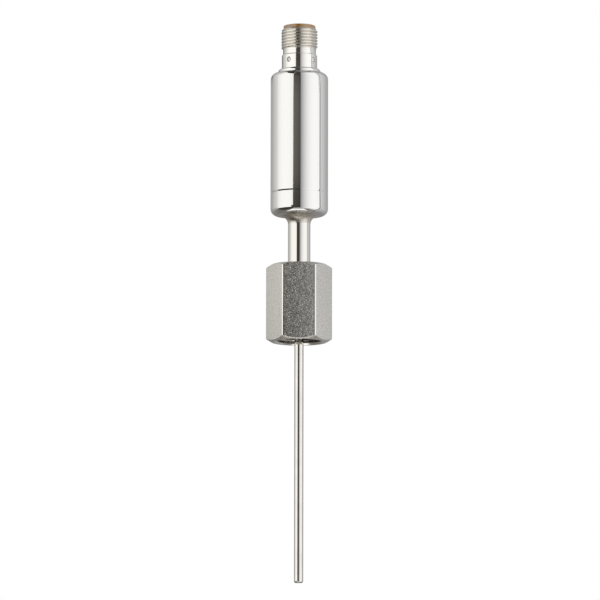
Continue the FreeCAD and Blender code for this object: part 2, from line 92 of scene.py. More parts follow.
# %% Make the white world
WORLD_LIGHT = 0.5

world = bpy.data.worlds.new("white_room")
bpy.context.scene.world = world
world.use_nodes = True
room = world.node_tree
room.nodes.clear()
ray = room.nodes.new("ShaderNodeLightPath")
camera_or_glossy = room.nodes.new("ShaderNodeMath")
camera_or_glossy.operation = "MAXIMUM"
seen = room.nodes.new("ShaderNodeMath")
seen.operation = "MAXIMUM"
lit = room.nodes.new("ShaderNodeBackground")
lit.inputs["Strength"].default_value = WORLD_LIGHT
shown = room.nodes.new("ShaderNodeBackground")
shown.inputs["Color"].default_value = (1.0, 1.0, 1.0, 1.0)
either = room.nodes.new("ShaderNodeMixShader")
room_out = room.nodes.new("ShaderNodeOutputWorld")
room.links.new(ray.outputs["Is Camera Ray"], camera_or_glossy.inputs[0])
room.links.new(ray.outputs["Is Glossy Ray"], camera_or_glossy.inputs[1])
room.links.new(camera_or_glossy.outputs["Value"], seen.inputs[0])
room.links.new(ray.outputs["Is Transmission Ray"], seen.inputs[1])
room.links.new(seen.outputs["Value"], either.inputs["Fac"])
room.links.new(lit.outputs["Background"], either.inputs[1])
room.links.new(shown.outputs["Background"], either.inputs[2])
room.links.new(either.outputs["Shader"], room_out.inputs["Surface"])
print("world light", WORLD_LIGHT)

# %% [markdown]
# ## The floor
#
# A pale floor lies far below, where it hides nothing from a camera that looks up. A floor close under
# the sensor would be more usual, but then the view from below would only show the floor's underside.

# %% Lay the floor
FLOOR_LEVEL = -2.6
FLOOR_RADIUS = 7.0
FLOOR_STEPS = 96


def add_object(name, bm):
    """Finishes a bmesh as an object in the scene."""
    mesh = bpy.data.meshes.new(name)
    bm.to_mesh(mesh)
    bm.free()
    made = bpy.data.objects.new(name, mesh)
    bpy.context.scene.collection.objects.link(made)
    return made


bm = bmesh.new()
bmesh.ops.create_circle(bm, cap_ends=True, segments=FLOOR_STEPS, radius=FLOOR_RADIUS)
bmesh.ops.translate(bm, verts=bm.verts, vec=(0.0, 0.0, FLOOR_LEVEL))
floor = add_object("floor", bm)
print("floor at", FLOOR_LEVEL, "m")

# %% [markdown]
# The cards shade the floor, so plain white paint would look grey. A lamp could light it, but the steel
# would mirror that lamp. So the paint shows its own pale colour to the camera, and stays an ordinary dull
# paint for everything else.

# %% Paint the floor
FLOOR_COLOUR = (0.86, 0.86, 0.86, 1.0)

floor_paint = bpy.data.materials.new("pale_floor")
floor_paint.use_nodes = True
paint = floor_paint.node_tree
painted = paint.nodes["Principled BSDF"]
painted.inputs["Base Color"].default_value = FLOOR_COLOUR
painted.inputs["Roughness"].default_value = 0.8
floor_ray = paint.nodes.new("ShaderNodeLightPath")
floor_shown = paint.nodes.new("ShaderNodeEmission")
floor_shown.inputs["Color"].default_value = FLOOR_COLOUR
floor_either = paint.nodes.new("ShaderNodeMixShader")
paint.links.new(floor_ray.outputs["Is Camera Ray"], floor_either.inputs["Fac"])
paint.links.new(painted.outputs["BSDF"], floor_either.inputs[1])
paint.links.new(floor_shown.outputs["Emission"], floor_either.inputs[2])
paint.links.new(floor_either.outputs["Shader"], paint.nodes["Material Output"].inputs["Surface"])
floor.data.materials.append(floor_paint)
print("floor painted", FLOOR_COLOUR[0])

# %% [markdown]
# ## Light cards
#
# The housing shows how the studio was lit: a wide soft box on the left that ends in a sharp edge, a
# dark gap where the camera stands, and a second soft box on the right that fades towards the camera.
# Area lamps could do this, but a lamp is equally bright all over. Cards that glow more or less from side
# to side give the same soft bands in the steel. Each corner of a card stores how strongly it glows, and
# one simple material reads that.

# %% Define the glow of a card


def card_light(name, tint):
    """A plain glow whose strength is stored on the card itself."""
    light = bpy.data.materials.new(name)
    light.use_nodes = True
    tree = light.node_tree
    tree.nodes.clear()
    stored = tree.nodes.new("ShaderNodeAttribute")
    stored.attribute_name = "glow"
    glow = tree.nodes.new("ShaderNodeEmission")
    glow.inputs["Color"].default_value = (*tint, 1.0)
    out = tree.nodes.new("ShaderNodeOutputMaterial")
    tree.links.new(stored.outputs["Fac"], glow.inputs["Strength"])
    tree.links.new(glow.outputs["Emission"], out.inputs["Surface"])
    return light


def at_share(share, values):
    """The value at a share of the way along values that stand at even steps."""
    place = share * (len(values) - 1)
    first = min(int(place), len(values) - 2)
    return values[first] + (place - first) * (values[first + 1] - values[first])


print("halfway from dark to bright:", at_share(0.5, (0.0, 1.0)))

# %% [markdown]
# The cards lie on a dome round the sensor, and the camera doesn't see them. Flat cards would be quicker
# to make, but on a dome two angles say where a card is, and the same two angles can be read off the
# housing's mirror. Sides are angles from the camera, minus to the left. Heights are angles too.

# %% Define directions on the dome
DOME_RADIUS = 1.5


def on_dome(side, height):
    """The direction of the dome at two angles in degrees."""
    turn = math.radians(side)
    climb = math.radians(height)
    return Vector((math.sin(turn) * math.cos(climb), -math.cos(turn) * math.cos(climb), math.sin(climb)))


print("dome of", DOME_RADIUS, "m, its right side at", [round(v, 1) for v in on_dome(90, 0)])

# %% [markdown]
# A card is a net of small faces. One big face would be flat, and it could only fade from corner to corner.
# In a net every corner stores its own glow, so a card can follow the dome and fade both ways.

# %% Define a card
CARD_STEP = 4.0


def studio_card(name, sides, heights, glows, tint, last_heights=None, radius=DOME_RADIUS, fades=(1, 1)):
    """A piece of the dome between two sides, with strengths from side to side.

    Heights are its lower and upper edge. Last heights are those at the second side, if they differ.
    Fades multiply the strengths from the lower edge to the upper one."""
    last_heights = last_heights or heights
    across = max(1, math.ceil((sides[1] - sides[0]) / CARD_STEP))
    up = max(1, math.ceil((heights[1] - heights[0]) / CARD_STEP))
    bm = bmesh.new()
    store = bm.verts.layers.float.new("glow")
    columns = []
    for i in range(across + 1):
        share = i / across
        side = at_share(share, sides)
        low = at_share(share, (heights[0], last_heights[0]))
        high = at_share(share, (heights[1], last_heights[1]))
        column = []
        for j in range(up + 1):
            corner = bm.verts.new(on_dome(side, at_share(j / up, (low, high))) * radius)
            corner[store] = at_share(share, glows) * at_share(j / up, fades)
            column.append(corner)
        columns.append(column)
    for here, there in zip(columns, columns[1:]):
        for j in range(up):
            bm.faces.new((here[j], there[j], there[j + 1], here[j + 1]))
    card = add_object(name, bm)
    card.data.shade_smooth()
    card.data.materials.append(card_light(name, tint))
    card.visible_camera = False


print("a face of a card spans", CARD_STEP, "degrees at most")

# %% [markdown]
# ## The left soft box and the gap
#
# The left soft box is a slanted sheet in front of a dark drape, so its upper edge climbs towards the
# back. Its front edge is the sharp line on the housing. The dark gap beside it could be one card, but in
# the photograph the gap is wider on the probe and paler on the housing, and its edge steps a little to the
# side from piece to piece. So the gap is cut into bands, one above the other.

# %% Place the left soft box and the gap
WARM = (1.0, 0.985, 0.955)
TAUPE = (1.0, 0.92, 0.82)
BACK_RADIUS = 1.56
LEFT_BOX_RADIUS = DOME_RADIUS + 0.02
GAP_GLOWS = (0.08, 0.045)
GAP_END = 5
# Each band has a lower and an upper edge, the side where it starts, and its fades.
GAP_BANDS = (
    (-35.0, 7.3, -32.5, (1.0, 1.0)),
    (7.3, 9.9, -25.3, (1.0, 1.0)),
    (9.9, 10.2, -25.5, (1.0, 2.0)),
    (10.2, 12.1, -24.5, (2.0, 2.4)),
    (12.1, 12.5, -23.5, (2.4, 1.0)),
    (12.5, 80.0, -24.0, (1.0, 1.0)),
)

studio_card("left_drape", (-100, -25), (-56, 80), (0.07, 0.045, 0.045), TAUPE, radius=BACK_RADIUS)
studio_card("left_soft_box", (-97, -22), (-14, 66), (1.0, 1.2, 1.24, 1.22, 1.1), WARM,
            last_heights=(-20, 37), radius=LEFT_BOX_RADIUS)
for i, (low, high, first_side, fades) in enumerate(GAP_BANDS):
    studio_card(f"gap_{i + 1}", (first_side, GAP_END), (low, high), GAP_GLOWS, TAUPE, fades=fades)
print("gap bands:", len(GAP_BANDS))

# %% [markdown]
# ## The right soft box
#
# The right soft box starts where the gap ends. It grows brighter away from the camera, reaches further
# down than the left one, and fades into a grey ceiling. A narrow dark strip, the rim of the box, stands
# at its back edge and leans forwards at the top. It is three cards in front of the box, because the thin
# line that it draws steps sideways at the shoulder and at the seam of the housing.

# %% Place the right soft box
NEUTRAL = (1.0, 0.99, 0.992)
RIM_RADIUS = 1.48
BOX_END = 90.5
RIGHT_BOX = (GAP_END, BOX_END)

studio_card("right_soft_box", RIGHT_BOX, (-40, 54), (0.34, 0.75, 1.02, 1.17, 1.22, 1.2, 1.16), NEUTRAL)
studio_card("right_box_foot", RIGHT_BOX, (-54, -40), (0.4, 0.48, 0.58, 0.74, 0.78), NEUTRAL)
studio_card("right_box_top", RIGHT_BOX, (54, 66), (0.2, 0.5, 0.75, 0.75, 0.7), NEUTRAL)
studio_card("right_rim_low", (89.8, 94.2), (-45, 9.9), (0.12, 0.12), NEUTRAL, radius=RIM_RADIUS)
studio_card("right_rim", (89.0, 93.5), (9.9, 12.3), (0.22, 0.22), NEUTRAL, radius=RIM_RADIUS)
studio_card("right_rim_high", (84.0, 88.8), (12.3, 45), (0.25, 0.25), NEUTRAL, radius=RIM_RADIUS)
studio_card("right_ceiling", (GAP_END, 180), (66, 80), (0.28, 0.46, 0.34, 0.2, 0.24), NEUTRAL)
studio_card("dome_top", (-180, 180), (80, 90), (0.2, 0.09, 0.25, 0.42, 0.2), NEUTRAL)
print("right soft box from", GAP_END, "to", BOX_END, "degrees")

# %% [markdown]
# ## The back of the room
#
# Behind the sensor the room is grey. It is lighter to the right, and gets darker overhead on the left
# and towards the table. One grey card would do for a dull object, but the thin edges of a mirror show
# this part of the room, so it has its own shades. A dark strip on the left edges the collar.

# %% Place the back of the room
RIGHT_BACK = (BOX_END, 180)
LEFT_BACK = (-180, -97)
LEFT_CORNER = (-180, -100)

studio_card("right_back", RIGHT_BACK, (-4, 45), (0.8, 0.67, 0.49, 0.42, 0.4), NEUTRAL)
studio_card("right_back_high", RIGHT_BACK, (45, 66), (0.8, 0.47, 0.38, 0.33), NEUTRAL)
studio_card("left_back", LEFT_BACK, (-4, 45), (0.43, 0.45, 0.5, 0.7, 0.89), WARM,
            fades=(0.86, 0.98, 1.04, 1.06))
studio_card("left_back_high", LEFT_BACK, (45, 60), (0.4, 0.46, 0.5, 0.62, 0.78), WARM)
studio_card("left_rim", (-152, -139), (12.4, 24), (0.12, 0.12), NEUTRAL, radius=RIM_RADIUS)
studio_card("left_back_top", LEFT_CORNER, (60, 80), (0.1, 0.1), NEUTRAL)
studio_card("right_back_low", RIGHT_BACK, (-18, -4), (0.66, 0.66, 0.52, 0.37, 0.29), NEUTRAL)
studio_card("left_back_low", LEFT_BACK, (-18, -4), (0.25, 0.28, 0.38, 0.48, 0.56), WARM)
studio_card("right_table_edge", RIGHT_BACK, (-32, -18), (0.6, 0.58, 0.46, 0.34, 0.28), NEUTRAL)
studio_card("left_table_edge", LEFT_CORNER, (-32, -18), (0.21, 0.24, 0.26, 0.26, 0.2), WARM)
studio_card("right_table", RIGHT_BACK, (-50, -32), (0.5, 0.48, 0.38, 0.3, 0.26), NEUTRAL)
studio_card("left_table", LEFT_CORNER, (-50, -32), (0.22, 0.21, 0.21, 0.21, 0.15), TAUPE)
print("room placed")

# %% [markdown]
# ## The table and the paper
#
# The sensor hangs above a grey table with a strip of white paper on it. The paper is brightest a little
# in front of the sensor, and shows as the bright patch under the housing. It could be a card on the dome
# too, but a flat sheet at its own level keeps that patch in the right place on the curved steel.

# %% Place the table and the paper
PAPER_LEVEL = -0.98
PAPER_SIDES = (-0.46, 0.31)
PAPER_BACK_TO_FRONT = (0.42, -0.72)
PAPER_GLOWS = (0.45, 0.9, 1.2, 1.28, 1.25, 1.0, 0.64)
PAPER_ROWS = 24

studio_card("table", (-180, 180), (-90, -50), (0.25, 0.18, 0.3, 0.3, 0.25), TAUPE, radius=BACK_RADIUS)
studio_card("table_front", (-28, GAP_END), (-54, -35), (0.38, 0.45), TAUPE)
studio_card("box_shadow", (20, 76), (-66, -57), (0.13, 0.13), TAUPE)
bm = bmesh.new()
store = bm.verts.layers.float.new("glow")
rows = []
for i in range(PAPER_ROWS + 1):
    share = i / PAPER_ROWS
    row = [bm.verts.new((x, at_share(share, PAPER_BACK_TO_FRONT), PAPER_LEVEL)) for x in PAPER_SIDES]
    for corner in row:
        corner[store] = at_share(share, PAPER_GLOWS)
    rows.append(row)
for here, there in zip(rows, rows[1:]):
    bm.faces.new((here[0], here[1], there[1], there[0]))
paper = add_object("white_paper", bm)
paper.data.materials.append(card_light("white_paper", WARM))
paper.visible_camera = False

# %% [markdown]
# ## Marks for finishes
#
# Every finish on the sensor is made of the same few marks: cloudy change of gloss, fine lines left by a
# polishing belt or a turning tool, and small grain. They could be painted pictures, but noise worked
# out in the part's own millimetres has no seams and stays sharp at any distance. Drawn out along one
# axis, the same noise becomes lines.

# %% Define the marks that finishes share
finishes = {}


def start_finish(name):
    """A new material with a plain shader, ready for its marks."""
    finish = bpy.data.materials.new(name)
    finish.use_nodes = True
    return finish, finish.node_tree, finish.node_tree.nodes["Principled BSDF"]


def marks(tree, size, stretch=(1.0, 1.0, 1.0), detail=3.0):
    """Cloudy noise with lumps of a size in millimetres, drawn out along each axis by the stretch."""
    place = tree.nodes.new("ShaderNodeTexCoord")
    scale = tree.nodes.new("ShaderNodeMapping")
    scale.inputs["Scale"].default_value = [1.0 / MM / size / amount for amount in stretch]
    noise = tree.nodes.new("ShaderNodeTexNoise")
    noise.inputs["Scale"].default_value = 1.0
    noise.inputs["Detail"].default_value = detail
    tree.links.new(place.outputs["Object"], scale.inputs["Vector"])
    tree.links.new(scale.outputs["Vector"], noise.inputs["Vector"])
    return noise.outputs["Fac"]


def joined(tree, how, first, second):
    """Joins two marks: ADD, MULTIPLY, MAXIMUM and the like."""
    both = tree.nodes.new("ShaderNodeMath")
    both.operation = how
    tree.links.new(first, both.inputs[0])
    tree.links.new(second, both.inputs[1])
    return both.outputs["Value"]


print("marks ready")

# %% [markdown]
# A mark is only a number between nought and one. To show, it has to become a range of gloss or a colour.
# It could be used as it comes, but noise rarely leaves the middle of its range, so these helpers spread
# its usual values.

# %% Define how marks become gloss and colour
USUAL_LOW = 0.3
USUAL_HIGH = 0.7


def from_to(tree, source, low, high, source_low=USUAL_LOW, source_high=USUAL_HIGH):
    """Spreads a mark's usual values over a range."""
    spread = tree.nodes.new("ShaderNodeMapRange")
    spread.inputs["From Min"].default_value = source_low
    spread.inputs["From Max"].default_value = source_high
    spread.inputs["To Min"].default_value = low
    spread.inputs["To Max"].default_value = high
    tree.links.new(source, spread.inputs["Value"])
    return spread.outputs["Result"]


def shades(tree, source, dark, light, deep=None):
    """A colour that runs from dark to light with a mark, and on to a deep one where the mark is missing."""
    ramp = tree.nodes.new("ShaderNodeValToRGB")
    ramp.color_ramp.elements[0].position = USUAL_LOW
    ramp.color_ramp.elements[1].position = USUAL_HIGH
    ramp.color_ramp.elements[0].color = (*dark, 1.0)
    ramp.color_ramp.elements[1].color = (*light, 1.0)
    if deep is not None:
        ramp.color_ramp.elements.new(0.0).color = (*deep, 1.0)
    tree.links.new(source, ramp.inputs["Fac"])
    return ramp.outputs["Color"]


print("usual marks:", USUAL_LOW, "to", USUAL_HIGH)

# %% [markdown]
# Scratches and grain are a few hundredths of a millimetre deep at most, too small to model. A bump tilts
# the shading instead. Reliefs can lie on top of each other, and each can fade out where metal is worn
# smooth.

# %% Define relief


def relief(tree, source, depth, below=None, strength=None):
    """Relief of a depth in millimetres, on top of another relief and weakened if those are given."""
    bump = tree.nodes.new("ShaderNodeBump")
    bump.inputs["Distance"].default_value = depth * MM
    tree.links.new(source, bump.inputs["Height"])
    if below is not None:
        tree.links.new(below, bump.inputs["Normal"])
    if strength is not None:
        tree.links.new(strength, bump.inputs["Strength"])
    return bump.outputs["Normal"]


print("relief ready")

# %% [markdown]
# Wear and dirt sit in certain places: on an edge, in a groove, inside a bore. Such places could be
# painted on by hand, but on a turned piece a level and a distance from the axis are enough to find most of
# them, and no picture has to be wrapped round the piece.

# %% Define how a place is found


def from_axis(tree):
    """Distance from the sensor's axis in metres."""
    place = tree.nodes.new("ShaderNodeTexCoord")
    flat = tree.nodes.new("ShaderNodeVectorMath")
    flat.operation = "MULTIPLY"
    flat.inputs[1].default_value = (1.0, 1.0, 0.0)
    size = tree.nodes.new("ShaderNodeVectorMath")
    size.operation = "LENGTH"
    tree.links.new(place.outputs["Object"], flat.inputs[0])
    tree.links.new(flat.outputs["Vector"], size.inputs[0])
    return size.outputs["Value"]


def along_axis(tree, axis="Z"):
    """Place along an axis in metres: the sensor's own, unless another is named."""
    place = tree.nodes.new("ShaderNodeTexCoord")
    parts = tree.nodes.new("ShaderNodeSeparateXYZ")
    tree.links.new(place.outputs["Object"], parts.inputs["Vector"])
    return parts.outputs[axis]


def away_from(tree, source, middle):
    """How far a level is from a middle level, both in metres."""
    gap = tree.nodes.new("ShaderNodeMath")
    gap.operation = "SUBTRACT"
    gap.inputs[1].default_value = middle
    size = tree.nodes.new("ShaderNodeMath")
    size.operation = "ABSOLUTE"
    tree.links.new(source, gap.inputs[0])
    tree.links.new(gap.outputs["Value"], size.inputs[0])
    return size.outputs["Value"]


print("places ready")

# %% [markdown]
# ## Drawn and turned steel
#
# The probe is drawn tube, with faint lines along it. The inner pieces are turned, with lines round
# them. Both have a slight unevenness that makes the edges of reflections waver, and both look darker
# towards their sides, where fine lines scatter a slanting reflection. An edge tint stands for that. They
# could be two materials made by hand, but they differ only in how strong each mark is, so one function
# makes them.

# %% Make the drawn and turned steels
EDGE_TINT = (0.22, 0.22, 0.22, 1.0)
CLOUD = 4.0
TOOL_LINE = 0.08
ROUND_THE_AXIS = (60.0, 60.0, 1.0)
ALONG_THE_AXIS = (1.0, 1.0, 60.0)


def steel(name, dark, light, gloss, lines, line_depth, wave, wave_depth):
    """Bright metal: gloss is the range of roughness, lines is how tool lines are drawn out."""
    finish, tree, shader = start_finish(name)
    shader.inputs["Metallic"].default_value = 1.0
    shader.inputs["Specular Tint"].default_value = EDGE_TINT
    clouds = marks(tree, CLOUD)
    scored = marks(tree, TOOL_LINE, lines, 2.0)
    tree.links.new(shades(tree, clouds, dark, light), shader.inputs["Base Color"])
    tree.links.new(from_to(tree, scored, *gloss), shader.inputs["Roughness"])
    uneven = relief(tree, marks(tree, wave), wave_depth)
    tree.links.new(relief(tree, scored, line_depth, uneven), shader.inputs["Normal"])
    finishes[name] = finish


steel("probe_steel", (0.72, 0.7, 0.665), (0.78, 0.76, 0.725), (0.05, 0.1),
      ALONG_THE_AXIS, 0.0001, 2.0, 0.0008)
steel("machined_steel", (0.55, 0.54, 0.52), (0.68, 0.67, 0.65), (0.22, 0.36),
      ROUND_THE_AXIS, 0.0015, 2.0, 0.002)
print("steel finishes:", sorted(finishes))

# %% [markdown]
# ## The mirror of the housing
#
# The housing is polished to a mirror. Only the flare under it is dull, because a polishing wheel doesn't
# reach well into a corner, and its colour there is painted darker and browner as painted shade in the
# hollow. The neck below keeps a warmer colour. Three materials on three parts of the mesh would meet in
# hard lines. The level on the axis drives both colour and gloss instead, so they change softly.

# %% Make the polished steel
FLARE_MIDDLE = 20.15 * MM
FLARE_REACH = (1.2 * MM, 1.7 * MM)
FLARE_DULLNESS = 0.27
NECK_TO_BODY = (18.0 * MM, 23.0 * MM)
NECK_TONE = (0.775, 0.76, 0.73, 1.0)
NECK_PLACE = 0.1
# Painted shade: the hollow of the flare is painted this darker, browner colour.
FLARE_PAINTED_SHADE = (0.61, 0.57, 0.51, 1.0)
FLARE_PLACES = (0.25, 0.66)
BODY_TONE = (0.775, 0.775, 0.77, 1.0)
BODY_PLACE = 0.78
MIRROR_GLOSS = (0.03, 0.06)
MIRROR_WAVE = 3.0
MIRROR_WAVE_DEPTH = 0.0015
MIRROR_LINE_DEPTH = 0.00003

polished, tree, shader = start_finish("polished_steel")
shader.inputs["Metallic"].default_value = 1.0
tones = tree.nodes.new("ShaderNodeValToRGB")
tones.color_ramp.elements[0].position = NECK_PLACE
tones.color_ramp.elements[0].color = NECK_TONE
tones.color_ramp.elements[1].position = BODY_PLACE
tones.color_ramp.elements[1].color = BODY_TONE
for place in FLARE_PLACES:
    tones.color_ramp.elements.new(place).color = FLARE_PAINTED_SHADE
tree.links.new(from_to(tree, along_axis(tree), 0.0, 1.0, *NECK_TO_BODY), tones.inputs["Fac"])
tree.links.new(tones.outputs["Color"], shader.inputs["Base Color"])
scored = marks(tree, TOOL_LINE, ROUND_THE_AXIS, 2.0)
from_flare = away_from(tree, along_axis(tree), FLARE_MIDDLE)
dull = from_to(tree, from_flare, FLARE_DULLNESS, 0.0, *FLARE_REACH)
gloss = from_to(tree, scored, *MIRROR_GLOSS)
tree.links.new(joined(tree, "ADD", gloss, dull), shader.inputs["Roughness"])
uneven = relief(tree, marks(tree, MIRROR_WAVE), MIRROR_WAVE_DEPTH)
tree.links.new(relief(tree, scored, MIRROR_LINE_DEPTH, uneven), shader.inputs["Normal"])
finishes["polished_steel"] = polished
print("flare dull up to", round((FLARE_MIDDLE + FLARE_REACH[1]) / MM, 2), "mm")

# %% [markdown]
# ## The connector's steel
#
# The collar is as bright as the housing. In the thread, cutting oil and dust dull the grooves, while the
# crests are rubbed clean by the plugs screwed onto them. The grooves are also painted darker and browner,
# as painted shade in the recesses. The grooves could be a second material, but a thread has no clear
# border between the two. Level and distance from the axis together tell how deep in a groove a point is.

# %% Make the steel of the connector
THREAD_ZONE = (76.8 * MM, 77.2 * MM)
THREAD_GROOVE = (5.45 * MM, 5.85 * MM)
CREST_TONE = (0.82, 0.81, 0.785)
# Painted shade: the thread's grooves are painted this darker, browner colour.
GROOVE_PAINTED_SHADE = (0.74, 0.712, 0.645)
DUST_AND_SHADE_ON_CRESTS = 0.35
CREST_GLOSS = (0.04, 0.08)
GROOVE_DULLNESS = 0.26
COLLAR_WAVE = 2.0
COLLAR_WAVE_DEPTH = 0.0008
COLLAR_LINE_DEPTH = 0.0001

connector, tree, shader = start_finish("connector_steel")
shader.inputs["Metallic"].default_value = 1.0
in_thread = from_to(tree, along_axis(tree), 0.0, 1.0, *THREAD_ZONE)
in_groove = from_to(tree, from_axis(tree), 1.0, DUST_AND_SHADE_ON_CRESTS, *THREAD_GROOVE)
# How deep in a groove a point is: it sets both the painted shade and the dust's dullness.
groove_dust_and_shade = joined(tree, "MULTIPLY", in_thread, in_groove)
tree.links.new(shades(tree, groove_dust_and_shade, CREST_TONE, GROOVE_PAINTED_SHADE), shader.inputs["Base Color"])
scored = marks(tree, TOOL_LINE, ROUND_THE_AXIS, 2.0)
gloss = from_to(tree, scored, *CREST_GLOSS)
dull = from_to(tree, groove_dust_and_shade, 0.0, GROOVE_DULLNESS)
tree.links.new(joined(tree, "ADD", gloss, dull), shader.inputs["Roughness"])
uneven = relief(tree, marks(tree, COLLAR_WAVE), COLLAR_WAVE_DEPTH)
tree.links.new(relief(tree, scored, COLLAR_LINE_DEPTH, uneven), shader.inputs["Normal"])
finishes["connector_steel"] = connector
print("grime starts at level", round(THREAD_ZONE[0] / MM, 2), "mm")

# %% [markdown]
# ## Bright and dark places on the nut
#
# The nut was tumbled or blasted, so its flats are dull grey. Its upright edges have been rubbed bright,
# and its ends and its bore were turned afterwards. Above the mouth, the bore is painted almost black as
# painted shade, except at the front and on the left. These places could be painted, but a few
# distances find them: from the axis, along it, and to either side.

# %% Find the places on the nut
# Each pair says where a place starts to change and where it has changed in full.
NUT_CORNER = (10.68 * MM, 10.78 * MM)
NUT_BORE = (8.05 * MM, 8.12 * MM)
NUT_MIDDLE = -7.7 * MM
NUT_BORE_END = (11.9 * MM, 12.2 * MM)
NUT_ENDS = (12.72 * MM, 12.78 * MM)
NUT_FRONT = (-4.0 * MM, -2.0 * MM)
NUT_LEFT = (-3.0 * MM, 0.0)

nut_finish, tree, shader = start_finish("matte_steel")
shader.inputs["Metallic"].default_value = 1.0
from_middle = away_from(tree, along_axis(tree), NUT_MIDDLE)
rubbed = from_to(tree, from_axis(tree), 0.0, 1.0, *NUT_CORNER)
ends = from_to(tree, from_middle, 0.0, 1.0, *NUT_ENDS)
outside = from_to(tree, from_axis(tree), 0.0, 1.0, *NUT_BORE)
inside = from_to(tree, from_axis(tree), 1.0, 0.0, *NUT_BORE)
bright = joined(tree, "MAXIMUM", joined(tree, "MAXIMUM", rubbed, ends), inside)
mouth = from_to(tree, from_middle, 0.0, 1.0, *NUT_BORE_END)
front = from_to(tree, along_axis(tree, "Y"), 1.0, 0.0, *NUT_FRONT)
left = from_to(tree, along_axis(tree, "X"), 1.0, 0.0, *NUT_LEFT)
# The front, the left and the mouth of the bore, where no painted shade is laid.
unshaded_in_bore = joined(tree, "MAXIMUM", joined(tree, "MAXIMUM", front, left), mouth)
unshaded = joined(tree, "MAXIMUM", outside, unshaded_in_bore)
print("nut rubbed bright from", round(NUT_CORNER[0] / MM, 2), "mm outwards")

# %% [markdown]
# ## The nut's colour and gloss
#
# Blasted steel is a mix of darker and lighter grains. The bright places are paler and glossier, the bore
# above the mouth is painted dark as painted shade, and a dull film has dried on the front of the bore.
# Separate materials would need cuts in the mesh. Here each place only shifts the same colour and gloss.

# %% Colour the nut and set its gloss
GRAIN = 0.3
LUMP = 0.7
GRAIN_DARK = (0.6, 0.586, 0.553)
GRAIN_LIGHT = (0.93, 0.914, 0.872)
# Painted shade: the bore above the mouth is painted this near-black colour.
BORE_PAINTED_SHADE = (0.2, 0.189, 0.172)
BRIGHT_TONE = 0.56
BRIGHT_GLOSS = 0.12
FLAT_GLOSS = (0.23, 0.33)
OILY_DULLNESS = 0.07
DRY_DULLNESS = 0.65

blasted = marks(tree, GRAIN, detail=4.0)
lump = marks(tree, LUMP, detail=1.0)
pale = from_to(tree, bright, 0.0, BRIGHT_TONE, 0.0, 1.0)
tone = joined(tree, "MULTIPLY", joined(tree, "MAXIMUM", blasted, pale), unshaded)
tree.links.new(shades(tree, tone, GRAIN_DARK, GRAIN_LIGHT, BORE_PAINTED_SHADE), shader.inputs["Base Color"])
worn = tree.nodes.new("ShaderNodeMapRange")
worn.inputs["To Max"].default_value = BRIGHT_GLOSS
tree.links.new(bright, worn.inputs["Value"])
tree.links.new(from_to(tree, lump, *FLAT_GLOSS), worn.inputs["To Min"])
oily = from_to(tree, inside, 0.0, OILY_DULLNESS, 0.0, 1.0)
dry = from_to(tree, joined(tree, "MULTIPLY", inside, front), 0.0, DRY_DULLNESS, 0.0, 1.0)
film = joined(tree, "ADD", oily, dry)
tree.links.new(joined(tree, "ADD", worn.outputs["Result"], film), shader.inputs["Roughness"])
print("nut grain of", GRAIN, "mm")

# %% [markdown]
# ## The nut's relief
#
# Blasting leaves a grain that sparkles: most of it is dull, but here and there a tiny facet faces a
# light. Real dents would need millions of faces. Instead the grain is three reliefs on top of each other:
# soft lumps, fine grains, and sparse specks with steep sides. All three fade out where the nut is bright.

# %% Give the nut its relief
LUMP_DEPTH = 0.03
GRAIN_DEPTH = 0.012
SPECK = 0.34
SPECK_SIDES = (0.65, 0.75)
SPECK_DEPTH = 0.023
RELIEF_ON_BRIGHT = 0.05

fading = from_to(tree, bright, 1.0, RELIEF_ON_BRIGHT, 0.0, 1.0)
lumps = relief(tree, lump, LUMP_DEPTH, None, fading)
grains = relief(tree, blasted, GRAIN_DEPTH, lumps, fading)
specks = from_to(tree, marks(tree, SPECK, detail=0.0), 0.0, 1.0, *SPECK_SIDES)
tree.links.new(relief(tree, specks, SPECK_DEPTH, grains, fading), shader.inputs["Normal"])
finishes["matte_steel"] = nut_finish
print("finishes so far:", len(finishes))

# %% [markdown]
# ## Plastics and rubber
#
# The insert in the connector is an amber, slightly see-through plastic with a glossy skin. The seals are
# black rubber, and the slip ring is a pale plastic. Each could have its own material, but moulded parts
# are alike: a colour with faint clouds and a soft orange-peel skin. So one function makes them all.

# %% Make the plastics and the rubber
MOULD_CLOUD = 1.5
GLOW_DEPTH = (1.2 * MM, 0.6 * MM, 0.2 * MM)


def moulded(name, dark, light, gloss, skin, skin_depth, glow_through=0.0, sheen=0.0):
    """Moulded plastic or rubber. Skin is the size of the orange-peel in millimetres."""
    finish, tree, shader = start_finish(name)
    clouds = marks(tree, MOULD_CLOUD)
    peel = marks(tree, skin)
    tree.links.new(shades(tree, clouds, dark, light), shader.inputs["Base Color"])
    tree.links.new(from_to(tree, peel, *gloss), shader.inputs["Roughness"])
    tree.links.new(relief(tree, peel, skin_depth), shader.inputs["Normal"])
    shader.inputs["Subsurface Weight"].default_value = glow_through
    shader.inputs["Subsurface Radius"].default_value = GLOW_DEPTH
    shader.inputs["Subsurface Scale"].default_value = 1.0
    shader.inputs["Coat Weight"].default_value = sheen
    shader.inputs["Coat IOR"].default_value = 1.9
    shader.inputs["Coat Roughness"].default_value = 0.06
    finishes[name] = finish


moulded("amber_plastic", (0.36, 0.172, 0.022), (0.42, 0.202, 0.034), (0.16, 0.26), 0.6, 0.0005, 0.2, 1.0)
moulded("seal_rubber", (0.012, 0.012, 0.012), (0.03, 0.03, 0.03), (0.45, 0.65), 0.15, 0.003)
moulded("grommet_rubber", (0.05, 0.05, 0.055), (0.085, 0.085, 0.09), (0.5, 0.7), 0.15, 0.003)
moulded("slip_plastic", (0.66, 0.64, 0.58), (0.76, 0.74, 0.68), (0.35, 0.5), 0.3, 0.002)
print("finishes so far:", len(finishes))

# %% [markdown]
# ## Parts that stay inside
#
# Chips, lights, insulation and small ceramic parts are hidden in the housing and in the probe. They could
# all be plain grey, but whoever opens the model should find them as they look on a bench: black chips,
# brown capacitors, white ceramics. The same function serves.

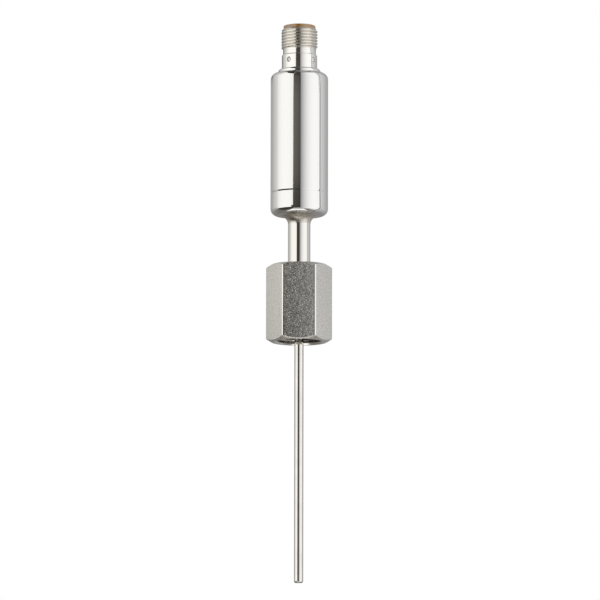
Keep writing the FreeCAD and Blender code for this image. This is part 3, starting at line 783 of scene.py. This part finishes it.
# %% Make the finishes of the inner parts
moulded("chip_plastic", (0.012, 0.012, 0.014), (0.028, 0.028, 0.03), (0.5, 0.65), 0.08, 0.002)
moulded("light_plastic", (0.72, 0.7, 0.52), (0.82, 0.8, 0.64), (0.2, 0.32), 0.2, 0.001, 0.2)
moulded("insulation_plastic", (0.62, 0.5, 0.2), (0.7, 0.58, 0.27), (0.25, 0.35), 0.6, 0.001, 0.2)
moulded("holder_plastic", (0.05, 0.055, 0.06), (0.09, 0.095, 0.1), (0.35, 0.5), 0.3, 0.003)
moulded("capacitor_ceramic", (0.34, 0.24, 0.14), (0.44, 0.32, 0.2), (0.3, 0.42), 0.1, 0.002)
moulded("resistor_ceramic", (0.03, 0.03, 0.035), (0.07, 0.07, 0.075), (0.25, 0.4), 0.1, 0.002)
moulded("element_ceramic", (0.72, 0.72, 0.7), (0.84, 0.84, 0.82), (0.35, 0.5), 0.1, 0.002)
moulded("insulator_ceramic", (0.72, 0.7, 0.64), (0.82, 0.8, 0.75), (0.5, 0.65), 0.12, 0.003)
print("finishes so far:", len(finishes))

# %% [markdown]
# ## Milky windows
#
# The small windows in the collar let the lights shine through. With the lights off they look milky white
# and glossy. Clear plastic would show the dark hole behind it, so only a little light passes through
# here, and a glossy coat gives the bright glint.

# %% Make the window plastic
milky, tree, shader = start_finish("window_plastic")
shader.inputs["Base Color"].default_value = (0.96, 0.965, 0.95, 1.0)
shader.inputs["Transmission Weight"].default_value = 0.05
shader.inputs["IOR"].default_value = 1.49
shader.inputs["Coat Weight"].default_value = 1.0
shader.inputs["Coat IOR"].default_value = 2.0
skin = marks(tree, 0.3)
tree.links.new(from_to(tree, skin, 0.04, 0.12), shader.inputs["Roughness"])
tree.links.new(relief(tree, skin, 0.001), shader.inputs["Normal"])
finishes["window_plastic"] = milky
print("finishes so far:", len(finishes))

# %% [markdown]
# ## Gilded pins, leads and boards
#
# Gold plating is thin and follows the drawn wire below it, so its lines run along the pins, and the steel
# function makes it. The boards are glass cloth in green resin. A picture of cloth could be laid on them,
# but two crossed sets of drawn-out noise show the same faint weave.

# %% Make the plated metal and the laminate
WEAVE = 0.35

steel("contact_gold", (0.78, 0.52, 0.2), (0.9, 0.64, 0.28), (0.14, 0.24),
      ALONG_THE_AXIS, 0.0003, 0.5, 0.001)
steel("lead_metal", (0.6, 0.6, 0.6), (0.74, 0.74, 0.73), (0.22, 0.34),
      ALONG_THE_AXIS, 0.0006, 0.4, 0.001)
board, tree, shader = start_finish("board_laminate")
weave_x = marks(tree, WEAVE, (6.0, 1.0, 1.0), 1.0)
weave_z = marks(tree, WEAVE, (1.0, 1.0, 6.0), 1.0)
cloth = joined(tree, "MAXIMUM", weave_x, weave_z)
tree.links.new(shades(tree, cloth, (0.01, 0.09, 0.035), (0.03, 0.17, 0.07)), shader.inputs["Base Color"])
tree.links.new(from_to(tree, cloth, 0.3, 0.45), shader.inputs["Roughness"])
tree.links.new(relief(tree, cloth, 0.006), shader.inputs["Normal"])
finishes["board_laminate"] = board
print("finishes in all:", len(finishes))

# %% [markdown]
# ## Dress the solid pieces
#
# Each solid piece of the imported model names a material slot, and each finish above has the name of one.
# The pieces could be dressed one by one, but handing the finishes out by slot forgets none. The pieces
# that get a finer shape later are dressed again then.

# %% Hand out the finishes
slot_of = {entry["node"]: entry["material_slot"] for entry in frame["record"]["subparts"]}
for name, piece in frame["nodes"].items():
    piece.data.materials.clear()
    piece.data.materials.append(finishes[slot_of[name]])
print("dressed", len(slot_of), "pieces")

# %% [markdown]
# ## Rounded outlines
#
# The housing, the base with its neck, the probe and the connector are all turned on a lathe, and a
# turner breaks or rounds every corner. A bevel modifier could do that after turning, but rounding the
# outline first lets every corner have its own size. A point set close to each rounding keeps the long
# mirror surfaces straight.

# %% Define rounded corners
ROUND_STEPS = 14
HOLD = 0.03


def soften(outline):
    """Replaces each corner that has a rounding, its third number, by an arc."""
    soft = []
    count = len(outline)
    for i, corner in enumerate(outline):
        point = Vector(corner[:2])
        if len(corner) == 2:
            soft.append(point)
            continue
        before = (Vector(outline[i - 1][:2]) - point).normalized()
        after = (Vector(outline[(i + 1) % count][:2]) - point).normalized()
        half = before.angle(after) / 2
        reach = corner[2] / math.tan(half)
        centre = point + (before + after).normalized() * corner[2] / math.sin(half)
        start = point + before * reach - centre
        turn = start.angle_signed(point + after * reach - centre)
        soft.append(centre + start + before * HOLD)
        for step in range(ROUND_STEPS + 1):
            soft.append(centre + Matrix.Rotation(-turn * step / ROUND_STEPS, 2) @ start)
        soft.append(point + after * (reach + HOLD))
    return soft


print("points of one rounded corner:", len(soften([(0, 0), (4, 0, 1), (4, 4)])) - 2)

# %% [markdown]
# ## Turning on a lathe
#
# A screw modifier would turn an outline too. Turning it here gives a closed mesh at once, with one point
# on the axis instead of a whole ring of them, and such a mesh can be cut cleanly later.

# %% Define the lathe
LATHE_STEPS = 192
ON_AXIS = 1e-6


def turn_piece(name, outline, steps=LATHE_STEPS):
    """Turns a closed outline of radius and level, in millimetres, about the axis."""
    bm = bmesh.new()
    angles = [2 * math.pi * i / steps for i in range(steps)]
    rings = []
    for radius, level in soften(outline):
        if radius < ON_AXIS:
            rings.append([bm.verts.new((0.0, 0.0, level * MM))] * steps)
            continue
        rings.append([bm.verts.new(Vector((radius * math.cos(a), radius * math.sin(a), level)) * MM)
                      for a in angles])
    for here, there in zip(rings, rings[1:] + rings[:1]):
        for i in range(steps):
            j = (i + 1) % steps
            corners = [here[i], here[j], there[j], there[i]]
            corners = [c for k, c in enumerate(corners) if c not in corners[:k]]
            if len(corners) > 2:
                bm.faces.new(corners)
    bmesh.ops.recalc_face_normals(bm, faces=bm.faces)
    return add_object(name, bm)


print("lathe ready:", LATHE_STEPS, "steps a turn")

# %% [markdown]
# ## Putting a piece in place
#
# A finished piece needs smooth shading that still breaks at real edges, its finish, and its place: the
# body that it moves with. The solid that it stands for is hidden. It could all be set piece by piece, but
# one helper can also count open edges, which tell at once whether a piece is still a whole solid.

# %% Define the last steps of a piece


def smooth_over(piece, crease):
    """Shades a piece smoothly, with a crease wherever two faces meet at more than an angle."""
    piece.data.shade_smooth()
    piece.data.set_sharp_from_angle(angle=math.radians(crease))


def open_edges(piece):
    """Counts edges that don't join exactly two faces. A whole solid has none."""
    bm = bmesh.new()
    bm.from_mesh(piece.data)
    loose = sum(1 for edge in bm.edges if len(edge.link_faces) != 2)
    bm.free()
    return loose


def put_in_place(piece, node, body):
    """Gives a finished piece its finish and its place on the sensor."""
    piece.data.materials.clear()
    piece.data.materials.append(finishes[slot_of[node]])
    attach(piece, body)
    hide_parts(node)
    print(piece.name, "faces:", len(piece.data.polygons), "open edges:", open_edges(piece))


# %% [markdown]
# ## The housing
#
# The housing is a polished tube whose top is drawn in round the connector. The solid could be shown as
# it is, but its mirror surface needs even rings and clean roundings more than anything else. So it is
# turned afresh from its outline. Its lower edge is bevelled, as one side of the groove along the seam.

# %% Turn the housing shell
BODY_R = 9.5
SEAM = 29.0
SEAM_ABOVE = 0.3
SEAM_SLOPE = 0.38
SHELL_TOP = 69.15
SHELL_TOP_WALL = 0.9
SHELL_MOUTH_R = 7.15
SHELL_BORE_R = 8.6
SHOULDER_ROUNDING = 2.1
BORE_ROUNDING = 1.2
MIRROR_CREASE = 15

shell = turn_piece("polished_shell", [
    (BODY_R - SEAM_SLOPE * SEAM_ABOVE, SEAM),
    (BODY_R, SEAM + SEAM_ABOVE),
    (BODY_R, SHELL_TOP, SHOULDER_ROUNDING),
    (SHELL_MOUTH_R, SHELL_TOP),
    (SHELL_MOUTH_R, SHELL_TOP - SHELL_TOP_WALL),
    (SHELL_BORE_R, SHELL_TOP - SHELL_TOP_WALL, BORE_ROUNDING),
    (SHELL_BORE_R, SEAM),
])
smooth_over(shell, MIRROR_CREASE)
put_in_place(shell, "housing_shell", "sensor")

# %% [markdown]
# ## The neck
#
# The lower end of the housing and the neck are turned from one bar. A flare leads the neck into the
# base, and a rounding leads the base up to the seam. Two pieces would be easier to draw, but a mirror
# shows every joint. So neck and base share one outline, and this is its lower half.

# %% Outline the neck
NECK_R = 3.7
NECK_BORE_R = 2.1
NECK_END = -0.8
NECK_END_R = 2.8
NECK_STEP = 1.6
FLARE_R = 3.0
BASE_LOW = 21.55
BASE_ROUNDING = 2.2

neck_outline = [
    (NECK_BORE_R, NECK_END),
    (NECK_END_R, NECK_END),
    (NECK_END_R, NECK_STEP),
    (NECK_R, NECK_STEP),
    (NECK_R, BASE_LOW, FLARE_R),
    (BODY_R, BASE_LOW, BASE_ROUNDING),
]
print("neck", 2 * NECK_R, "mm across, base from level", BASE_LOW, "mm")

# %% [markdown]
# ## The base
#
# The seam between base and housing could be a painted line, but a shallow groove does what it does in the
# photograph: its upper side mirrors the dark room under the left soft box, and shows as a thin dark line
# on that side only. Above the seam the base goes on as a spigot with a groove for its seal.

# %% Turn the base with its neck
BASE_BORE_R = 6.2
BASE_FLOOR = BASE_LOW + 4.0
SEAM_BELOW = 0.25
SPIGOT_R = 8.55
SPIGOT_TOP = SEAM + 4.5
SEAL_GROOVE_R = 7.25
BASE_SEAL = (SEAM + 1.5, SEAM + 3.3)

base = turn_piece("base_and_neck", neck_outline + [
    (BODY_R, SEAM - SEAM_BELOW),
    (BODY_R - SEAM_SLOPE * (SEAM_BELOW + SEAM_ABOVE), SEAM - SEAM_BELOW),
    (BODY_R - SEAM_SLOPE * SEAM_ABOVE, SEAM),
    (SPIGOT_R, SEAM),
    (SPIGOT_R, BASE_SEAL[0]),
    (SEAL_GROOVE_R, BASE_SEAL[0]),
    (SEAL_GROOVE_R, BASE_SEAL[1]),
    (SPIGOT_R, BASE_SEAL[1]),
    (SPIGOT_R, SPIGOT_TOP),
    (BASE_BORE_R, SPIGOT_TOP),
    (BASE_BORE_R, BASE_FLOOR),
    (NECK_BORE_R, BASE_FLOOR),
])
smooth_over(base, MIRROR_CREASE)
put_in_place(base, "neck_base", "sensor")

# %% [markdown]
# ## The probe
#
# The probe is a thin drawn tube, closed and slightly rounded at its tip. A slimmer root carries it up
# through the sealing cone, out of sight. A plain cylinder would look much the same, but the hollow tube
# is what holds the sensing element. It is thin, so it needs fewer steps a turn.

# %% Turn the probe
PROBE_R = 1.5
PROBE_BORE_R = 1.05
PROBE_TIP = -100.0
TIP_ROUNDING = 0.5
TIP_FLOOR = -99.2
ROOT_R = 1.3
ROOT_LOW = -6.55
ROOT_TOP = 8.0
PROBE_STEPS = 96
CREASE = 25

probe = turn_piece("probe_tube", [
    (0.0, PROBE_TIP),
    (PROBE_R, PROBE_TIP, TIP_ROUNDING),
    (PROBE_R, ROOT_LOW),
    (ROOT_R, ROOT_LOW),
    (ROOT_R, ROOT_TOP),
    (PROBE_BORE_R, ROOT_TOP),
    (PROBE_BORE_R, TIP_FLOOR),
    (0.0, TIP_FLOOR),
], PROBE_STEPS)
smooth_over(probe, CREASE)
put_in_place(probe, "probe_sheath", "sensor")

# %% [markdown]
# ## A thread's waste
#
# A thread is cut by a pointed tool that winds along the piece. The material it removes is a bar of V
# section bent into a helix. We could bend a finished thread profile round the piece instead, but taking
# the waste away from a turned blank gives the true start at the bevel and the true run-out in the groove,
# just as on the real lathe.

# %% Define the waste of a thread
CUT_STEPS = 120


def thread_waste(name, near, far, pitch, low, turns, start):
    """The bar a thread tool removes. Near and far are its edges: a radius and half a width.

    It starts at a level and an angle, and winds upwards."""
    bm = bmesh.new()
    sections = []
    for i in range(round(turns * CUT_STEPS) + 1):
        angle = start + 2 * math.pi * i / CUT_STEPS
        level = low + pitch * i / CUT_STEPS
        outline = [(near[0], level - near[1]), (far[0], level - far[1]),
                   (far[0], level + far[1]), (near[0], level + near[1])]
        sections.append([bm.verts.new(Vector((r * math.cos(angle), r * math.sin(angle), z)) * MM)
                         for r, z in outline])
    for here, there in zip(sections, sections[1:]):
        for k in range(4):
            bm.faces.new((here[k], there[k], there[(k + 1) % 4], here[(k + 1) % 4]))
    bm.faces.new(sections[0])
    bm.faces.new(sections[-1])
    bmesh.ops.recalc_face_normals(bm, faces=bm.faces)
    return add_object(name, bm)


print("thread tool:", CUT_STEPS, "steps a turn")

# %% [markdown]
# ## Cutting
#
# Milling, drilling and threading all take a tool's shape away from a piece. The Boolean modifier could
# stay on the piece, but then the tools would have to stay in the scene too. Here the cut is worked out at
# once, the tools are cleared away, and faces too thin to have an area are merged with their neighbours.

# %% Define cutting
SLIVER = 0.0002


def take_away(piece, tools, keep="DIFFERENCE"):
    """Cuts tools out of a piece, or keeps only what lies in both, and clears tools and slivers away."""
    for tool in tools:
        cut = piece.modifiers.new(tool.name, "BOOLEAN")
        cut.object = tool
        cut.operation = keep
        cut.solver = "EXACT"
    shaped = piece.evaluated_get(bpy.context.evaluated_depsgraph_get())
    mesh = bpy.data.meshes.new_from_object(shaped)
    piece.modifiers.clear()
    piece.data = mesh
    bm = bmesh.new()
    bm.from_mesh(mesh)
    bmesh.ops.dissolve_degenerate(bm, dist=SLIVER * MM, edges=bm.edges)
    bm.to_mesh(mesh)
    bm.free()
    for tool in tools:
        bpy.data.objects.remove(tool)


print("slivers under", SLIVER, "mm are merged")

# %% [markdown]
# ## The seat of the connector sleeve
#
# The lower part of the sleeve sits inside the housing with a seal ring, and its rounded flange closes the
# housing at the top. Only the flange is seen, and the rest could be left out. But whoever opens the model
# should find the seat as it is, so the outline starts at the hidden end.

# %% Outline the seat of the sleeve
SLEEVE_LOW = 61.15
SLEEVE_R = 8.5
SLEEVE_BORE_R = 6.6
SLEEVE_SEAL = (63.25, 65.05)
SLEEVE_SHOULDER = 68.15
SLEEVE_ROUNDING = 1.1
FLANGE_R = 7.05
FLANGE_TOP = 70.5
FLANGE_ROUNDING = 1.0

seat_outline = [
    (SLEEVE_BORE_R, SLEEVE_LOW),
    (SLEEVE_R, SLEEVE_LOW),
    (SLEEVE_R, SLEEVE_SEAL[0]),
    (SEAL_GROOVE_R, SLEEVE_SEAL[0]),
    (SEAL_GROOVE_R, SLEEVE_SEAL[1]),
    (SLEEVE_R, SLEEVE_SEAL[1]),
    (SLEEVE_R, SLEEVE_SHOULDER, SLEEVE_ROUNDING),
    (FLANGE_R, SLEEVE_SHOULDER),
    (FLANGE_R, FLANGE_TOP, FLANGE_ROUNDING),
]
print("seat from level", SLEEVE_LOW, "to", FLANGE_TOP, "mm")

# %% [markdown]
# ## The blank of the connector
#
# Above the flange come a collar for the lights, a groove where the thread tool runs out, and a bevelled
# end for the thread. The solid has all of that but the thread. It is turned again as a blank with fine
# rings, because the thread tool needs clean round faces to cut into.

# %% Turn the blank of the sleeve
COLLAR_R = 5.85
COLLAR_TOP = 75.0
COLLAR_BEVEL = 0.25
RUNOUT_R = 5.475
RUNOUT_TOP = 77.42
THREAD_R = 6.0
THREAD_LOW = 77.54
THREAD_TOP = 84.0
THREAD_BEVEL = 0.6
INSERT_BORE_R = 4.75
INSERT_LOW = 67.15

sleeve = turn_piece("threaded_sleeve", seat_outline + [
    (COLLAR_R, FLANGE_TOP),
    (COLLAR_R, COLLAR_TOP),
    (COLLAR_R - COLLAR_BEVEL, COLLAR_TOP + COLLAR_BEVEL),
    (RUNOUT_R, COLLAR_TOP + COLLAR_BEVEL),
    (RUNOUT_R, RUNOUT_TOP),
    (THREAD_R, THREAD_LOW),
    (THREAD_R, THREAD_TOP - THREAD_BEVEL),
    (THREAD_R - THREAD_BEVEL, THREAD_TOP),
    (INSERT_BORE_R, THREAD_TOP),
    (INSERT_BORE_R, INSERT_LOW),
    (SLEEVE_BORE_R, INSERT_LOW),
])
print("sleeve blank faces:", len(sleeve.data.polygons))

# %% [markdown]
# ## The connector's thread
#
# The thread is fine, with one millimetre pitch. Its waste starts in the run-out groove and ends above the
# bevel, so the thread fades out at both ends as a real one does. It could end flush with the thread, but
# faces that lie exactly on each other cut badly, so the waste also stands a little outside the blank.

# %% Make the waste of the connector's thread
TOOL_CLEARANCE = 0.05
THREAD_ROOT = (5.42, 0.06)
THREAD_MOUTH = (THREAD_R + TOOL_CLEARANCE, 0.42)
THREAD_PITCH = 1.0
THREAD_FIRST = 76.13
THREAD_TURNS = 9.0
THREAD_START = 3.13

waste = thread_waste("thread_waste", THREAD_ROOT, THREAD_MOUTH, THREAD_PITCH,
                     THREAD_FIRST, THREAD_TURNS, THREAD_START)
print("thread waste faces:", len(waste.data.polygons))

# %% [markdown]
# ## The light holes
#
# Four holes for the lights stand a quarter turn apart in the collar. Painted rings would do from afar, but
# a stepped drill leaves a real narrow gap round each window, which stays dark from every side. The thread
# is cut together with the holes, and the sleeve is done.

# %% Thread and drill the sleeve
WINDOW_LEVEL = 73.2
WINDOW_R = 0.8
WINDOW_GAP = 0.08
WINDOW_GAP_DEPTH = 0.5
WINDOW_STEP_DEPTH = 0.7
WINDOW_ANGLES = (-127, -37, 53, 143)
DRILL_FROM = 3.0
DRILL_TO = 7.0
DRILL_STEPS = 48

drills = []
for angle in WINDOW_ANGLES:
    drill = turn_piece("drill", [
        (0.0, DRILL_FROM),
        (WINDOW_R, DRILL_FROM),
        (WINDOW_R, COLLAR_R - WINDOW_STEP_DEPTH),
        (WINDOW_R + WINDOW_GAP, COLLAR_R - WINDOW_GAP_DEPTH),
        (WINDOW_R + WINDOW_GAP, DRILL_TO),
        (0.0, DRILL_TO),
    ], DRILL_STEPS)
    aimed = Matrix.Rotation(math.radians(angle), 4, "Z") @ Matrix.Rotation(math.pi / 2, 4, "Y")
    drill.data.transform(Matrix.Translation((0, 0, WINDOW_LEVEL * MM)) @ aimed)
    drills.append(drill)
take_away(sleeve, [waste, *drills])
smooth_over(sleeve, CREASE)
put_in_place(sleeve, "connector_sleeve", "sensor")

# %% [markdown]
# ## The nut's hexagon bar
#
# The nut starts as a length of hexagon bar. Drawn bar has rounded upright edges, which catch the light as
# bright lines. A six-sided cylinder with a bevel would do, but working the outline out keeps the width
# across the flats exact. The bar is cut a little too long, because its ends are turned next.

# %% Make the hexagon bar
NUT_LOW = -20.5
NUT_TOP = 5.1
NUT_FLATS = 19.0
NUT_EDGE = 0.62
EDGE_STEPS = 10
OVERCUT = 1.0


def hexagon_bar(name, flats, edge, low, high):
    """A hexagonal bar with rounded upright edges and two flats facing along Y."""
    centre_r = (flats / 2 - edge) / math.cos(math.radians(30))
    outline = []
    for corner in range(6):
        middle = math.radians(60 * corner)
        for step in range(EDGE_STEPS + 1):
            face = math.radians(60 * corner - 30 + 60 * step / EDGE_STEPS)
            outline.append((centre_r * math.cos(middle) + edge * math.cos(face),
                            centre_r * math.sin(middle) + edge * math.sin(face)))
    bm = bmesh.new()
    lower = [bm.verts.new(Vector((x, y, low)) * MM) for x, y in outline]
    upper = [bm.verts.new(Vector((x, y, high)) * MM) for x, y in outline]
    count = len(outline)
    for i in range(count):
        j = (i + 1) % count
        bm.faces.new((lower[i], lower[j], upper[j], upper[i]))
    bm.faces.new(lower)
    bm.faces.new(upper)
    bmesh.ops.recalc_face_normals(bm, faces=bm.faces)
    return add_object(name, bm)


nut = hexagon_bar("hexagon_nut", NUT_FLATS, NUT_EDGE, NUT_LOW - OVERCUT, NUT_TOP + OVERCUT)
print("bar", NUT_FLATS, "mm across flats, faces:", len(nut.data.polygons))

# %% [markdown]
# ## The nut's bevelled ends
#
# Both ends are bevelled on the lathe, which leaves curved lines where the bevel runs out on the flats. A
# bevel along the six edges would leave straight ones. So we turn a shape with slanting ends, and keep only
# what lies in both the bar and that shape.

# %% Bevel the ends of the nut
NUT_FACE_R = 9.1
NUT_BEVEL = 30

bevel_drop = (NUT_FLATS - NUT_FACE_R) * math.tan(math.radians(NUT_BEVEL))
bevels = turn_piece("bevels", [
    (0.0, NUT_LOW),
    (NUT_FACE_R, NUT_LOW),
    (NUT_FLATS, NUT_LOW + bevel_drop),
    (NUT_FLATS, NUT_TOP - bevel_drop),
    (NUT_FACE_R, NUT_TOP),
    (0.0, NUT_TOP),
])
take_away(nut, [bevels], "INTERSECT")
print("bevelled nut faces:", len(nut.data.polygons))

# %% [markdown]
# ## Easing the nut's edges
#
# Tumbling takes the sharpness off every edge, and an eased edge shines as a thin line. A shader can fake
# that line, but a real small rounding also shows in the outline and in the mesh. Points that
# fall together are merged and big faces are split, so that the next cut meets only simple faces.

# %% Ease the edges of the nut
EASE = 0.11
EASE_STEPS = 3
SHARP_TURN = 20
SAME_POINT = 0.001

bm = bmesh.new()
bm.from_mesh(nut.data)
sharp = [edge for edge in bm.edges if edge.calc_face_angle() > math.radians(SHARP_TURN)]
sharp_count = len(sharp)
bmesh.ops.bevel(bm, geom=sharp, offset=EASE * MM, segments=EASE_STEPS, profile=0.5, affect="EDGES",
                clamp_overlap=True)
bmesh.ops.remove_doubles(bm, verts=bm.verts, dist=SAME_POINT * MM)
bmesh.ops.triangulate(bm, faces=[face for face in bm.faces if len(face.verts) > 4])
bm.to_mesh(nut.data)
bm.free()
print("eased edges:", sharp_count)

# %% [markdown]
# ## The nut's bore
#
# The mouth has a turned bevel that mirrors the paper below, then a short plain step where the thread
# starts. Deeper in, a recess ends the thread, and a narrow hole leaves room for the neck. Each step could
# be drilled with its own tool, but one turned tool with the whole outline cuts them all at once.

# %% Make the boring tool
NUT_BORE_R = 7.188
NUT_MOUTH_R = 8.1
MOUTH_BEVEL = 0.6
MOUTH_DEPTH = 1.3
MOUTH_STEP_R = NUT_MOUTH_R - MOUTH_BEVEL
NUT_RECESS_R = 8.1
NUT_RECESS_LOW = -0.7
NUT_SHOULDER = 2.5
NUT_HOLE_R = 4.0
NUT_HOLE_BEVEL = 0.4

bore = turn_piece("bore", [
    (0.0, NUT_LOW - OVERCUT),
    (NUT_MOUTH_R + OVERCUT, NUT_LOW - OVERCUT),
    (MOUTH_STEP_R, NUT_LOW + MOUTH_BEVEL),
    (MOUTH_STEP_R, NUT_LOW + MOUTH_DEPTH),
    (NUT_BORE_R, NUT_LOW + MOUTH_DEPTH + MOUTH_STEP_R - NUT_BORE_R),
    (NUT_BORE_R, NUT_RECESS_LOW - NUT_RECESS_R + NUT_BORE_R),
    (NUT_RECESS_R, NUT_RECESS_LOW),
    (NUT_RECESS_R, NUT_SHOULDER),
    (NUT_HOLE_R, NUT_SHOULDER),
    (NUT_HOLE_R, NUT_TOP - NUT_HOLE_BEVEL),
    (NUT_HOLE_R + NUT_HOLE_BEVEL + OVERCUT, NUT_TOP + OVERCUT),
    (0.0, NUT_TOP + OVERCUT),
])
print("bore", 2 * NUT_BORE_R, "mm, hole for the neck", 2 * NUT_HOLE_R, "mm")

# %% [markdown]
# ## The nut's thread
#
# The inner thread could stand on the wall of the bore, but it is cut outwards from it, as a real tap does.
# So nothing stands further in than on the solid nut, and the nut can still slide over the sealing cone.

# %% Bore and thread the nut
NUT_THREAD_MOUTH = (NUT_BORE_R - TOOL_CLEARANCE, 0.69)
NUT_THREAD_ROOT = (8.0, 0.17)
NUT_PITCH = 1.5
NUT_THREAD_LOW = -19.85
NUT_THREAD_TURNS = 12.0
NUT_THREAD_START = 1.6

inner_waste = thread_waste("inner_waste", NUT_THREAD_MOUTH, NUT_THREAD_ROOT, NUT_PITCH,
                           NUT_THREAD_LOW, NUT_THREAD_TURNS, NUT_THREAD_START)
take_away(nut, [bore, inner_waste])
smooth_over(nut, CREASE)
put_in_place(nut, "union_nut", "nut")
